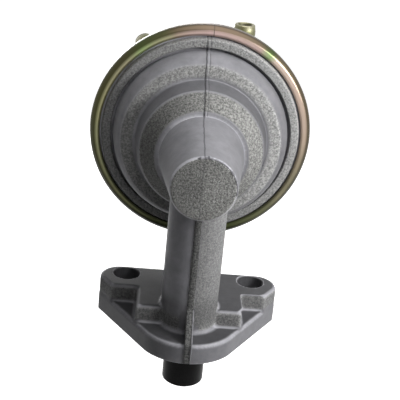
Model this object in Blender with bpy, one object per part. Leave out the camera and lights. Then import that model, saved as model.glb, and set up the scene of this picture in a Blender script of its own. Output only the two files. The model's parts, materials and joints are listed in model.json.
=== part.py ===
"""Mechanical diaphragm fuel pump for an engine, driven by a plunger.

Metres, +Z up. The origin is on the mounting face, midway between the two bolt holes.
The plunger runs along +Z, in front of the bolt holes. The neck and the round pump
chamber share one axis along +Y, above the flange.
"""

import math

import bmesh
import bpy
from mathutils import Vector

# Clearances
GAP = 0.0003                    # between faces that seat on each other
RUNNING_GAP = 0.00025           # around what slides or turns

# Mounting flange, seen from above
BOLT_SPACING = 0.044
BOLT_HOLE_RADIUS = 0.00455      # clearance for an 8 mm bolt
PLUNGER_OFFSET = 0.020          # bolt line to plunger axis
PLATE_THICKNESS = 0.0068
LAND_HEIGHT = 0.0128            # flange thickness under the bolt heads
BACK_MARGIN = 0.0057            # bolt line to the straight back edge
END_MARGIN = 0.0092             # bolt centre to the end of the flange
CORNER_RADIUS = 0.0072          # of the two rear corners
FRONT_CORNER = 0.0036           # bolt line to the corner where each side turns to the nose
NOSE_RADIUS = 0.0173            # front of the plate, round the plunger
LAND_HALF_WIDTH = 0.0178
LAND_FRONT = 0.0037             # plunger axis to the front of the land
BOSS_FRONT = 0.0102             # bolt line to the front of each bolt boss
LAND_EDGE = 0.0008              # rounding of the land's upper edges
LAND_TUCK = 0.0004              # how far the land's side stays inside the plate's
PLATE_EDGE = 0.0007             # rounding of the plate's upper edge

# Plunger guide tube
TUBE_WALL = 0.0016              # round the bore for the plunger's spring
TUBE_FOOT_FILLET = 0.0012
GUSSET_WIDTH = 0.0022
GUSSET_PROUD = 0.0006           # the gusset stands this far out of the plate's nose
GUSSET_TOP = 0.0165
GUSSET_LIFT = 0.00025            # keeps the gusset clear of the mounting face
SEAM_WIDTH = 0.0024
SEAM_PROUD = 0.0004

# Neck and dome, as radii round the neck axis and distances behind the plunger axis
AXIS_HEIGHT = 0.0615
NECK_REACH = 0.0170             # plunger axis to the closed end of the neck
NECK_END_RADIUS = 0.01045
NECK_END_EDGE = 0.0011
NECK_ROOT_RADIUS = 0.0142
NECK_ROOT_FILLET = 0.0011
CONE_START = 0.0110
CONE_WIDTH = 0.0070             # neck's root out to the edge of the step
CONE_DEPTH = 0.0055
CONE_EDGE = 0.0009
STEP_DEPTH = 0.0082             # of the smooth wall between cone and band
STEP_DRAFT = 0.0012
BAND_WIDTH = 0.0044             # flat band, out to where the shoulder starts to curve
SHOULDER_WIDTH = 0.0036
SHOULDER_DEPTH = 0.0092
GROOVE_WIDTH = 0.0010
GROOVE_DEPTH = 0.0021           # below the ring's face
RING_WIDTH = 0.0027
RING_PROUD = 0.0016             # ring's face, in front of the shoulder's end
RING_HEIGHT = 0.0026            # ring's face, in front of the edge that is crimped
RING_DRAFT = 0.0006             # its outer side leans out towards the crimped edge
CRIMP_LEDGE = 0.00325           # ring out to the crimped edge
CRIMP_THICKNESS = 0.0014        # of the edge that the cover is rolled over
SMALL_EDGE = 0.0004             # rounding of the ring and the band's corner
CAST_WALL = 0.0026
CHAMBER_WALL = 0.0016           # at the shoulder's widest
CHAMBER_CORNER = 0.0012
VENT_RADIUS = 0.0012
VENT_MARGIN = 0.0006            # foot of the step to the edge of the vent

# Hollow neck
NECK_SIDE_WALL = 0.00165        # at the closed end
NECK_ROOT_WALL = 0.0032
NECK_END_WALL = 0.0024
NECK_BORE_EDGE = 0.0015
SEAL_SEAT_BEHIND = 0.0030       # start of the cone to the ledge that the seal cup sits on

# Stamped cover with its rolled rim
SHEET = 0.0011
LIP_CLEARANCE = 0.0011          # ring to the rolled lip
LIP_EDGE = 0.0003
RIM_EDGE = 0.0017               # outer rounding of the rim
RIM_BACK_EDGE = 0.0020
RIM_TAPER = 0.0004              # the rolled rim narrows by this much towards its back
CUP_INSET = 0.0044              # crimped edge in to the cup's side
CUP_DRAFT = 0.0006
CUP_SIDE = 0.0035               # valve floor to the end of the cup's straight side
CUP_FOOT_FILLET = 0.0013
CUP_CORNER = 0.0028
CUP_SLOPE = math.radians(15)
CROWN_RADIUS = 0.0090

# Diaphragm and what carries it
DIAPHRAGM_THICKNESS = 0.0008
DIAPHRAGM_STEP = 0.0008         # centre stands this far behind the clamped edge at rest
CONVOLUTION_INSET = 0.0006      # chamber's side in to the convolution
CONVOLUTION_WIDTH = 0.0076
CONVOLUTION_HEIGHT = 0.0016
PLATE_INSET = 0.0010            # convolution in to the plates
PLATE_SHEET = 0.0010
PLATE_CURL = 0.0010
PLATE_LIP = 0.0007              # thickness of the curled edge
ROD_RADIUS = 0.00175
ROD_HEAD_RADIUS = 0.0038
ROD_HEAD = 0.0016
ROD_NUT_ACROSS = 0.0064
ROD_NUT_HEIGHT = 0.0020

# Valve housing and seal
HOUSING_EDGE = 0.0008
HOUSING_WALL = 0.0024
HOUSING_FLOOR = 0.0030
HOUSING_CLEARANCE = 0.0006      # diaphragm plate to the inlet valve's cage
HOUSING_INSET = 0.0011          # inside of the cup to the housing
PARTITION = 0.0020
COVER_SEAL = 0.0005
VALVE_SPREAD = 0.0120           # partition to each valve's axis
VALVE_PORT_RADIUS = 0.0038
VALVE_DISC_RADIUS = 0.0052
VALVE_DISC = 0.0011
VALVE_LIFT = 0.0012             # travel of each disc
VALVE_SPRING_ROOM = 0.0022      # for the valve spring when its disc is fully open
CAGE_RADIUS = 0.0068
CAGE_SHEET = 0.0008
CAGE_LEG_WIDTH = 0.0022
CAGE_STEM_RADIUS = 0.0009

# Springs: mean radius of the coil, radius of the wire, number of turns
MAIN_SPRING_RADIUS = 0.0098
MAIN_SPRING_WIRE = 0.00065
MAIN_SPRING_TURNS = 5.0
PLUNGER_SPRING_RADIUS = 0.0058
PLUNGER_SPRING_WIRE = 0.00055
PLUNGER_SPRING_TURNS = 6.5
VALVE_SPRING_RADIUS = 0.0024
VALVE_SPRING_WIRE = 0.00022
VALVE_SPRING_TURNS = 3.5

# Seal cup and rod seal
SEAL_LEDGE = 0.0014             # width of the ledge under the seal cup's flange
SEAL_CUP_SHEET = 0.0010
SEAL_CUP_BORE = 0.0034
SEAL_CUP_DEPTH = 0.0046
SEAL_RADIUS = 0.0046

# Plunger and its guide
PLUNGER_RADIUS = 0.0070
PLUNGER_PROTRUSION = 0.0160     # below the mounting face, at rest
PLUNGER_TIP_EDGE = 0.0008
COLLAR_PROUD = 0.00065
COLLAR_HEIGHT = 0.0030
SHANK_RADIUS = 0.0029
SHANK_EDGE = 0.0008
GUIDE_WALL = 0.0014
GUIDE_LENGTH = 0.0120
SPRING_BORE_TOP = 0.0440
SHANK_HOLE_RADIUS = 0.0046

# Bell crank, from its pin
PIN_RADIUS = 0.0015
PIN_BEHIND = 0.0075             # plunger axis to the pin, towards the closed end
PIN_BELOW = 0.0055              # neck axis down to the pin
PIN_SUNK = 0.0005               # pin end below the neck's surface
HUB_RADIUS = 0.0028
HUB_HALF_WIDTH = 0.0036
TAPPET_DROP = 0.0025
TAPPET_RADIUS = 0.0017
TAPPET_ARM_RADIUS = 0.0019      # of the arm at the pin; slim, to clear the raised plunger
TAPPET_HALF_WIDTH = 0.0023
FORK_SLOT = 0.00215             # half the gap between the prongs
FORK_NOSE_RADIUS = 0.0018

# Fuel pipes
PIPE_RADIUS = 0.00385
PIPE_WALL = 0.0012
PIPE_BEAD = 0.0003
PIPE_BEAD_LENGTH = 0.0024
PIPE_INSIDE = 0.0022            # pipe end inside the cover's sheet
INLET_TURN = math.radians(48.1)  # round the neck axis, left of straight up
INLET_INSET = 0.0093            # cup's side in to the inlet pipe's root
INLET_LENGTH = 0.0240
OUTLET_SIDE = 0.0147            # to the right of the neck axis
OUTLET_ROOT_HEIGHT = 0.0085     # above the neck axis
OUTLET_STRAIGHT = 0.0050
OUTLET_BEND_RADIUS = 0.0100
OUTLET_TOP = 0.0322             # pipe end above the neck axis

# Facets round each kind of piece
ROUND_LARGE = 48
ROUND_MEDIUM = 32
ROUND_INNER = 24
ROUND_SMALL = 16
ROUND_PIPE = 14

CONE_RADIUS = NECK_ROOT_RADIUS + CONE_WIDTH
SHOULDER_INNER_RADIUS = CONE_RADIUS + STEP_DRAFT + BAND_WIDTH
SHOULDER_RADIUS = SHOULDER_INNER_RADIUS + SHOULDER_WIDTH
RING_INNER_RADIUS = SHOULDER_RADIUS + GROOVE_WIDTH
RING_OUTER_RADIUS = RING_INNER_RADIUS + RING_WIDTH
CRIMP_EDGE_RADIUS = RING_OUTER_RADIUS + CRIMP_LEDGE
BAND_START = CONE_START + CONE_DEPTH + STEP_DEPTH
SHOULDER_END = BAND_START + SHOULDER_DEPTH
RING_FACE = SHOULDER_END - RING_PROUD
CRIMP_SEAT = RING_FACE + RING_HEIGHT            # front of the edge that is crimped
JOINT_FACE = CRIMP_SEAT + CRIMP_THICKNESS       # rear face of the casting
CHAMBER_RADIUS = SHOULDER_RADIUS - CHAMBER_WALL
NECK_BORE_END_RADIUS = NECK_END_RADIUS - NECK_SIDE_WALL
NECK_BORE_ROOT_RADIUS = NECK_ROOT_RADIUS - NECK_ROOT_WALL
SEAL_SEAT = CONE_START + SEAL_SEAT_BEHIND
CUP_FLANGE_RADIUS = NECK_BORE_ROOT_RADIUS + SEAL_LEDGE
LIP_RADIUS = RING_OUTER_RADIUS + LIP_CLEARANCE
CUP_RADIUS = CRIMP_EDGE_RADIUS - CUP_INSET
HOUSING_RADIUS = CUP_RADIUS - SHEET - HOUSING_INSET
CONVOLUTION_OUTER = CHAMBER_RADIUS - CONVOLUTION_INSET
CONVOLUTION_INNER = CONVOLUTION_OUTER - CONVOLUTION_WIDTH
PLATE_RADIUS = CONVOLUTION_INNER - PLATE_INSET
INLET_ROOT_RADIUS = CUP_RADIUS - INLET_INSET
COLLAR_RADIUS = PLUNGER_RADIUS + COLLAR_PROUD
SPRING_BORE_RADIUS = COLLAR_RADIUS + RUNNING_GAP
TUBE_RADIUS = SPRING_BORE_RADIUS + TUBE_WALL
PLUNGER_Y = -PLUNGER_OFFSET
TURN_TO_Y = (-math.pi / 2, 0.0, 0.0)            # local +Z becomes world +Y
TURN_TO_X = (math.pi / 2, 0.0, math.pi / 2)     # local x, y, z become world Y, Z, X
SEAT_Y = JOINT_FACE + GAP                       # clamped face of the diaphragm
HOUSING_Y = SEAT_Y + DIAPHRAGM_THICKNESS + GAP
CENTRE_Y = SEAT_Y + DIAPHRAGM_STEP              # lower face of the diaphragm's centre
UPPER_PLATE_Y = CENTRE_Y + DIAPHRAGM_THICKNESS + GAP
VALVE_DEPTH = GAP + VALVE_DISC + VALVE_LIFT + VALVE_SPRING_ROOM + CAGE_SHEET
FLOOR_Y = UPPER_PLATE_Y + PLATE_CURL + PLATE_LIP + HOUSING_CLEARANCE + VALVE_DEPTH
FLOOR_TOP = FLOOR_Y + HOUSING_FLOOR
CUP_SIDE_END = FLOOR_TOP + CUP_SIDE
COVER_SEAL_Y = HOUSING_Y + HOUSING_EDGE + GAP
COVER_Y = COVER_SEAL_Y + COVER_SEAL + GAP       # inner face of the cover's flange
RIM_RADIUS = CRIMP_EDGE_RADIUS + GAP + SHEET
STACK_RADIUS = CRIMP_EDGE_RADIUS - RIM_TAPER    # of what is clamped behind the casting
PIN_Y = -PIN_BEHIND
PIN_Z = AXIS_HEIGHT - PIN_BELOW
TAPPET_Z = PIN_Z - TAPPET_DROP
PLUNGER_TOP = TAPPET_Z - TAPPET_RADIUS - GAP
HEAD_Y = -PIN_BEHIND - FORK_NOSE_RADIUS - GAP   # face of the rod head that the fork pulls
GUIDE_RADIUS = PLUNGER_RADIUS + RUNNING_GAP + GUIDE_WALL


def arc(centre_x, centre_y, radius, start_deg, end_deg, steps, radius_y=None):
    """Points on a circular or elliptical arc, both ends included."""
    tall = radius if radius_y is None else radius_y
    points = []
    for step in range(steps + 1):
        angle = math.radians(start_deg + (end_deg - start_deg) * step / steps)
        points.append((centre_x + radius * math.cos(angle), centre_y + tall * math.sin(angle)))
    return points


def neck_radius(along):
    """Outer radius of the tapered neck at a distance behind the plunger axis."""
    share = (along + NECK_REACH) / (CONE_START + NECK_REACH)
    return NECK_END_RADIUS + (NECK_ROOT_RADIUS - NECK_END_RADIUS) * share


def neck_bore_radius(along):
    """Inner radius of the neck at a distance behind the plunger axis."""
    share = (along + NECK_REACH - NECK_END_WALL) / (SEAL_SEAT + NECK_REACH - NECK_END_WALL)
    return NECK_BORE_END_RADIUS + (NECK_BORE_ROOT_RADIUS - NECK_BORE_END_RADIUS) * share


def cup_height(radius):
    """Outer face of the cover's sloping back at a radius from the neck axis."""
    edge = CUP_RADIUS - CUP_DRAFT - CUP_CORNER
    crown = CUP_SIDE_END + CUP_CORNER + (edge - CROWN_RADIUS) * math.tan(CUP_SLOPE)
    return crown - max(radius - CROWN_RADIUS, 0.0) * math.tan(CUP_SLOPE)


def material(name, colour, roughness, metallic):
    """A Principled material for one kind of surface."""
    made = bpy.data.materials.new(name)
    made.use_nodes = True
    shader = made.node_tree.nodes["Principled BSDF"]
    shader.inputs["Base Color"].default_value = (*colour, 1.0)
    shader.inputs["Roughness"].default_value = roughness
    shader.inputs["Metallic"].default_value = metallic
    made.diffuse_color = (*colour, 1.0)
    return made


def add_object(name, mesh, finish, location=(0.0, 0.0, 0.0), rotation=(0.0, 0.0, 0.0)):
    """Link a mesh into the scene as one named object with its own material."""
    item = bpy.data.objects.new(name, mesh)
    bpy.context.scene.collection.objects.link(item)
    item.location = location
    item.rotation_euler = rotation
    if finish:
        colour, roughness, metallic = finish
        mesh.materials.append(material(name + "_finish", colour, roughness, metallic))
    return item


def finish_mesh(bm, name, sharp_deg=35.0):
    """Turn a bmesh into a smooth-shaded mesh with sharp corners."""
    bmesh.ops.remove_doubles(bm, verts=bm.verts, dist=1e-7)
    bmesh.ops.recalc_face_normals(bm, faces=bm.faces)
    mesh = bpy.data.meshes.new(name)
    bm.to_mesh(mesh)
    bm.free()
    mesh.shade_smooth()
    mesh.set_sharp_from_angle(angle=math.radians(sharp_deg))
    return mesh


def revolve(name, profile, steps, closed=True, centre=(0.0, 0.0)):
    """Spin (radius, height) points round local Z. An open profile starts and ends on the axis."""
    bm = bmesh.new()
    verts = [bm.verts.new((radius, 0.0, height)) for radius, height in profile]
    for first, second in zip(verts, verts[1:]):
        bm.edges.new((first, second))
    if closed:
        bm.edges.new((verts[-1], verts[0]))
    bmesh.ops.spin(
        bm, geom=bm.verts[:] + bm.edges[:], cent=(0, 0, 0), axis=(0, 0, 1),
        angle=2 * math.pi, steps=steps, use_merge=True, use_duplicate=False,
    )
    bmesh.ops.translate(bm, verts=bm.verts, vec=(centre[0], centre[1], 0.0))
    return finish_mesh(bm, name)


def extrude(name, outline, low, high, top_edge=0.0):
    """Extrude an (x, y) outline from low to high, with an optional rounded top edge."""
    bm = bmesh.new()
    floor = bm.faces.new([bm.verts.new((x, y, low)) for x, y in outline])
    moved = bmesh.ops.extrude_face_region(bm, geom=[floor])
    top = [item for item in moved["geom"] if isinstance(item, bmesh.types.BMVert)]
    bmesh.ops.translate(bm, verts=top, vec=(0, 0, high - low))
    bmesh.ops.recalc_face_normals(bm, faces=bm.faces)
    if top_edge:
        rim = [edge for edge in bm.edges if all(vert.co.z > high - 1e-7 for vert in edge.verts)]
        bmesh.ops.bevel(bm, geom=rim, offset=top_edge, segments=2, profile=0.5, affect="EDGES")
    return finish_mesh(bm, name)


def block(name, low, high):
    """A box between two corners."""
    outline = [(low[0], low[1]), (high[0], low[1]), (high[0], high[1]), (low[0], high[1])]
    return extrude(name, outline, low[2], high[2])


def rod(name, radius, low, high, steps, centre=(0.0, 0.0)):
    """A plain cylinder between two heights."""
    profile = [(0.0, low), (radius, low), (radius, high), (0.0, high)]
    return revolve(name, profile, steps, closed=False, centre=centre)


def combine(target, helpers, operation):
    """Join helpers to the target or cut them from it, and hide them."""
    for helper in helpers:
        helper.hide_render = True
        helper.display_type = "WIRE"
        step = target.modifiers.new(operation.title() + " " + helper.name, "BOOLEAN")
        step.operation = operation
        step.solver = "EXACT"
        step.object = helper


def helper(name, mesh, location=(0.0, 0.0, 0.0), rotation=(0.0, 0.0, 0.0)):
    """A solid that only takes part in a Boolean."""
    return add_object("tool_" + name, mesh, None, location, rotation)


def on_neck_axis(along=0.0):
    """Placement on the neck axis, a distance behind the plunger axis."""
    return (0.0, PLUNGER_Y + along, AXIS_HEIGHT)


def casting_outline():
    """Outer side of the neck and dome, from the closed end to the crimped edge."""
    end = -NECK_REACH
    cone_end = CONE_START + CONE_DEPTH
    band_radius = CONE_RADIUS + STEP_DRAFT
    groove = RING_FACE + GROOVE_DEPTH
    outline = [(0.0, end)]
    outline += arc(NECK_END_RADIUS - NECK_END_EDGE, end + NECK_END_EDGE, NECK_END_EDGE, -90, -5, 3)
    foot = CONE_START - NECK_ROOT_FILLET
    outline += arc(neck_radius(foot) + NECK_ROOT_FILLET, foot, NECK_ROOT_FILLET, 180, 120, 2)
    outline += arc(CONE_RADIUS - CONE_EDGE, cone_end + CONE_EDGE * 0.5, CONE_EDGE, -55, 0, 2)
    small = SMALL_EDGE
    outline += [(band_radius, BAND_START - small), (band_radius + small, BAND_START)]
    outline += arc(
        SHOULDER_INNER_RADIUS, SHOULDER_END, SHOULDER_RADIUS - SHOULDER_INNER_RADIUS,
        -90, 0, 5, SHOULDER_END - BAND_START,
    )
    outline += [(SHOULDER_RADIUS, groove), (RING_INNER_RADIUS, groove)]
    outline += [(RING_INNER_RADIUS, RING_FACE + small), (RING_INNER_RADIUS + small, RING_FACE)]
    outline += [(RING_OUTER_RADIUS - small, RING_FACE), (RING_OUTER_RADIUS, RING_FACE + small)]
    outline += [(RING_OUTER_RADIUS + RING_DRAFT, CRIMP_SEAT), (CRIMP_EDGE_RADIUS, CRIMP_SEAT)]
    return outline + [(CRIMP_EDGE_RADIUS, JOINT_FACE), (0.0, JOINT_FACE)]


def cavity_outline():
    """Inside of the neck and dome, a wall's thickness under the outer side."""
    past = JOINT_FACE + 0.002
    end = -NECK_REACH + NECK_END_WALL
    floor = BAND_START + CAST_WALL
    cup_seat_radius = CUP_FLANGE_RADIUS + GAP
    outline = [(0.0, end)]
    edge = NECK_BORE_EDGE
    outline += arc(NECK_BORE_END_RADIUS - edge, end + edge, edge, -90, 0, 2)
    outline += [(NECK_BORE_ROOT_RADIUS, SEAL_SEAT), (cup_seat_radius, SEAL_SEAT)]
    outline += [(cup_seat_radius, SEAL_SEAT + CAST_WALL)]
    outline += [(CONE_RADIUS - CAST_WALL, CONE_START + CONE_DEPTH + CAST_WALL)]
    outline += [(CONE_RADIUS + STEP_DRAFT - CAST_WALL, floor)]
    outline += arc(
        SHOULDER_INNER_RADIUS - CAST_WALL, JOINT_FACE - CHAMBER_CORNER,
        CHAMBER_RADIUS - SHOULDER_INNER_RADIUS + CAST_WALL, -90, 0, 4,
        JOINT_FACE - CHAMBER_CORNER - floor,
    )
    mouth = CHAMBER_RADIUS + CHAMBER_CORNER
    return outline + [(mouth, JOINT_FACE), (mouth, past), (0.0, past)]


def nose_touch():
    """Direction, from the plunger axis, of the point where the plate's slanted side meets its nose."""
    across, ahead = BOLT_SPACING / 2 + END_MARGIN, -FRONT_CORNER - PLUNGER_Y
    turn = math.acos(NOSE_RADIUS / math.hypot(across, ahead))
    return math.degrees(math.atan2(ahead, across) - turn)


def flange_end(tuck):
    """Right end of the plate from the back to its front corner, moved inwards by tuck."""
    end_x = BOLT_SPACING / 2 + END_MARGIN - tuck
    radius = CORNER_RADIUS - tuck
    rear = arc(end_x - radius, BACK_MARGIN - CORNER_RADIUS, radius, 90, 0, 6)
    return rear + [(end_x, -FRONT_CORNER + tuck * 0.5)]


def flange_outline():
    """Plate seen from above: straight back, two ends and the nose round the plunger."""
    right = flange_end(0.0)
    touch = nose_touch()
    nose = arc(0.0, PLUNGER_Y, NOSE_RADIUS, touch, -180 - touch, 12)
    return right + nose + [(-x, y) for x, y in reversed(right)]


def land_outline():
    """Raised T on the plate: a bolt boss at each end and the web between them."""
    right = flange_end(LAND_TUCK)
    last_x, last_y = right[-1]
    slant = math.tan(math.radians(nose_touch()))
    right += [(last_x + (BOSS_FRONT + last_y) * slant, -BOSS_FRONT), (LAND_HALF_WIDTH, -BOSS_FRONT)]
    right += [(LAND_HALF_WIDTH, PLUNGER_Y - LAND_FRONT)]
    return right + [(-x, y) for x, y in reversed(right)]


def flange_helpers():
    """Plate, land, tube, gusset and the seam strip that join the neck."""
    front = PLUNGER_Y - TUBE_RADIUS
    nose = PLUNGER_Y - NOSE_RADIUS - GUSSET_PROUD
    foot = PLATE_THICKNESS
    inside = PLATE_THICKNESS * 0.5
    tube = [(0.0, inside), (TUBE_RADIUS + TUBE_FOOT_FILLET, inside)]
    tube += arc(
        TUBE_RADIUS + TUBE_FOOT_FILLET, foot + TUBE_FOOT_FILLET, TUBE_FOOT_FILLET, -90, -180, 2
    )
    top = AXIS_HEIGHT - NECK_END_RADIUS * 0.4
    tube += [(TUBE_RADIUS, top), (0.0, top)]
    gusset = [(nose, 0.0), (PLUNGER_Y, 0.0), (PLUNGER_Y, GUSSET_TOP), (front, GUSSET_TOP)]
    gusset += [(nose + 0.0006, foot + 0.0012), (nose, foot + 0.0004)]
    seam_top = AXIS_HEIGHT - NECK_END_RADIUS * 0.7
    return [
        helper("plate", extrude("plate", flange_outline(), 0.0, PLATE_THICKNESS, PLATE_EDGE)),
        helper("land", extrude("land", land_outline(), inside, LAND_HEIGHT, LAND_EDGE)),
        helper("tube", revolve("tube", tube, ROUND_MEDIUM, False), (0, PLUNGER_Y, 0)),
        helper(
            "gusset", extrude("gusset", gusset, -GUSSET_WIDTH / 2, GUSSET_WIDTH / 2),
            (0, 0, GUSSET_LIFT), TURN_TO_X,
        ),
        helper("seam", block(
            "seam", (-SEAM_WIDTH / 2, front - SEAM_PROUD, GUSSET_TOP * 0.6),
            (SEAM_WIDTH / 2, front + TUBE_RADIUS * 0.4, seam_top),
        )),
    ]


def casting_cutters():
    """Hollows and holes of the casting, in the order that a machinist would cut them."""
    at_plunger = (0.0, PLUNGER_Y, 0.0)
    guide_seat = GUIDE_RADIUS + GAP
    bores = [(0.0, -0.002), (guide_seat, -0.002), (guide_seat, GUIDE_LENGTH + 2 * GAP)]
    bores += [(SPRING_BORE_RADIUS, GUIDE_LENGTH + 2 * GAP), (SPRING_BORE_RADIUS, SPRING_BORE_TOP)]
    bores += [(SHANK_HOLE_RADIUS, SPRING_BORE_TOP), (SHANK_HOLE_RADIUS, AXIS_HEIGHT)]
    bores += [(0.0, AXIS_HEIGHT)]
    pin_hole = PIN_RADIUS + RUNNING_GAP
    half = NECK_END_RADIUS * 2
    vent_at = CONE_RADIUS + STEP_DRAFT + VENT_RADIUS + VENT_MARGIN
    cavity = revolve("cavity", cavity_outline(), ROUND_MEDIUM, False)
    cutters = [
        helper("cavity", cavity, on_neck_axis(), TURN_TO_Y),
        helper("bores", revolve("bores", bores, ROUND_INNER, False), at_plunger),
        helper(
            "pin_hole", rod("pin_hole", pin_hole, -half, half, 12),
            (0.0, PLUNGER_Y + PIN_Y, PIN_Z), TURN_TO_X,
        ),
        helper(
            "vent", rod("vent", VENT_RADIUS, -0.004, 0.004, 8),
            (0.0, PLUNGER_Y + BAND_START, AXIS_HEIGHT - vent_at), TURN_TO_Y,
        ),
    ]
    for side in (-1, 1):
        hole = rod("bolt_hole", BOLT_HOLE_RADIUS, -0.002, LAND_HEIGHT + 0.002, ROUND_SMALL)
        cutters.append(helper("bolt_hole", hole, (side * BOLT_SPACING / 2, 0.0, 0.0)))
    return cutters


def make_body():
    """Die-cast body: flange, plunger tube, neck and dome in one piece."""
    mesh = revolve("body", casting_outline(), ROUND_LARGE, False)
    body = add_object("body", mesh, ((0.30, 0.30, 0.31), 0.50, 0.85), on_neck_axis(), TURN_TO_Y)
    combine(body, flange_helpers(), "UNION")
    combine(body, casting_cutters(), "DIFFERENCE")


def cover_outline():
    """Section of the cover's sheet: crown, back, side, flange and the lip over the casting."""
    outer_back = COVER_Y + SHEET
    side_top = CUP_RADIUS - CUP_DRAFT
    slope = math.degrees(CUP_SLOPE)
    corner_y = cup_height(side_top - CUP_CORNER) - CUP_CORNER
    lip_face = CRIMP_SEAT - GAP - SHEET
    outer = [(0.0, cup_height(0.0)), (CROWN_RADIUS, cup_height(CROWN_RADIUS))]
    outer += arc(side_top - CUP_CORNER, corner_y, CUP_CORNER, 90 - slope, 0, 3)
    foot = CUP_FOOT_FILLET
    outer += arc(CUP_RADIUS + foot, outer_back + foot, foot, 180, 270, 2)
    edge = RIM_BACK_EDGE
    outer += arc(RIM_RADIUS - RIM_TAPER - edge, outer_back - edge, edge, 90, 0, 3)
    outer += arc(RIM_RADIUS - RIM_EDGE, lip_face + RIM_EDGE, RIM_EDGE, 0, -96, 4)
    outer += [(LIP_RADIUS, lip_face + LIP_EDGE)]
    inner = [(LIP_RADIUS, CRIMP_SEAT - GAP), (RIM_RADIUS - SHEET, CRIMP_SEAT - GAP)]
    inner += [(RIM_RADIUS - SHEET, JOINT_FACE), (RIM_RADIUS - SHEET - RIM_TAPER, HOUSING_Y)]
    inner += [(RIM_RADIUS - SHEET - RIM_TAPER, COVER_Y), (CUP_RADIUS - SHEET * 0.5, COVER_Y)]
    inner += [(CUP_RADIUS - SHEET, COVER_Y + SHEET * 0.5)]
    inside = CUP_CORNER - SHEET
    inner += arc(side_top - CUP_CORNER, corner_y, inside, 0, 90 - slope, 2)
    drop = SHEET / math.cos(CUP_SLOPE)
    inner += [(CROWN_RADIUS, cup_height(CROWN_RADIUS) - drop), (0.0, cup_height(0.0) - drop)]
    return outer + inner


def inlet_frame():
    """Root point and direction of the inlet pipe, square to the cover's sloping back."""
    out = Vector((-math.sin(INLET_TURN), 0.0, math.cos(INLET_TURN)))
    root = Vector(on_neck_axis(cup_height(INLET_ROOT_RADIUS))) + out * INLET_ROOT_RADIUS
    return root, out * math.sin(CUP_SLOPE) + Vector((0, 1, 0)) * math.cos(CUP_SLOPE)


def outlet_frame():
    """Root point and direction of the outlet pipe, which leaves the back and turns up."""
    radius = math.hypot(OUTLET_SIDE, OUTLET_ROOT_HEIGHT)
    root = Vector(on_neck_axis(cup_height(radius))) + Vector((OUTLET_SIDE, 0, OUTLET_ROOT_HEIGHT))
    return root, Vector((0.0, math.cos(CUP_SLOPE), math.sin(CUP_SLOPE)))


def make_cover():
    """Stamped steel cover, rolled over the casting's edge, with holes for both pipes."""
    mesh = revolve("cover", cover_outline(), ROUND_LARGE, False)
    cover = add_object("cover", mesh, ((0.55, 0.50, 0.30), 0.28, 0.95), on_neck_axis(), TURN_TO_Y)
    for name, (root, way) in (("inlet_hole", inlet_frame()), ("outlet_hole", outlet_frame())):
        hole = helper(name, rod(name, PIPE_RADIUS + GAP, -0.005, 0.005, ROUND_PIPE + 4), root)
        hole.rotation_euler = way.to_track_quat("Z", "Y").to_euler()
        combine(cover, [hole], "DIFFERENCE")


def pipe(name, path, finish):
    """A tube along a path of points, with a hose bead at its far end."""
    bm = bmesh.new()
    rings = []
    inner = PIPE_RADIUS - PIPE_WALL
    ways = []
    for index, point in enumerate(path):
        before = path[max(index - 1, 0)]
        after = path[min(index + 1, len(path) - 1)]
        ways.append((after - before).normalized())
    end, way = path[-1], ways[-1]
    bead = PIPE_RADIUS + PIPE_BEAD
    stations = [(point, turn, PIPE_RADIUS) for point, turn in zip(path[:-1], ways)]
    for share, radius in ((2.0, PIPE_RADIUS), (1.5, bead), (1.0, bead), (0.4, PIPE_RADIUS)):
        stations.append((end - way * PIPE_BEAD_LENGTH * share, way, radius))
    stations += [(end, way, PIPE_RADIUS - 0.0003), (end, way, inner)]
    stations += [(point, turn, inner) for point, turn in reversed(list(zip(path[:-1], ways)))]
    side = Vector((1, 0, 0))
    for point, turn, radius in stations:
        across = (side - turn * side.dot(turn)).normalized()
        up = turn.cross(across)
        ring = []
        for step in range(ROUND_PIPE):
            angle = 2 * math.pi * step / ROUND_PIPE
            turned = across * math.cos(angle) + up * math.sin(angle)
            ring.append(bm.verts.new(point + turned * radius))
        rings.append(ring)
    for first, second in zip(rings, rings[1:] + rings[:1]):
        for step in range(ROUND_PIPE):
            after = (step + 1) % ROUND_PIPE
            bm.faces.new((first[step], first[after], second[after], second[step]))
    origin = path[0].copy()
    bmesh.ops.translate(bm, verts=bm.verts, vec=-origin)
    return add_object(name, finish_mesh(bm, name), finish, origin)


def make_pipes():
    """Inlet nipple, straight out of the back, and outlet pipe, which turns up."""
    finish = ((0.55, 0.50, 0.30), 0.30, 0.95)
    root, way = inlet_frame()
    pipe("inlet_pipe", [root - way * PIPE_INSIDE, root + way * INLET_LENGTH], finish)
    root, way = outlet_frame()
    path = [root - way * PIPE_INSIDE]
    start = root + way * OUTLET_STRAIGHT
    normal = Vector((0.0, -way.z, way.y))
    centre = start + normal * OUTLET_BEND_RADIUS
    sweep = math.pi / 2 - CUP_SLOPE
    for step in range(7):
        angle = sweep * step / 6
        turned = way * math.sin(angle) - normal * math.cos(angle)
        path.append(centre + turned * OUTLET_BEND_RADIUS)
    path.append(Vector((path[-1].x, path[-1].y, AXIS_HEIGHT + OUTLET_TOP)))
    pipe("outlet_pipe", path, finish)


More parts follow.
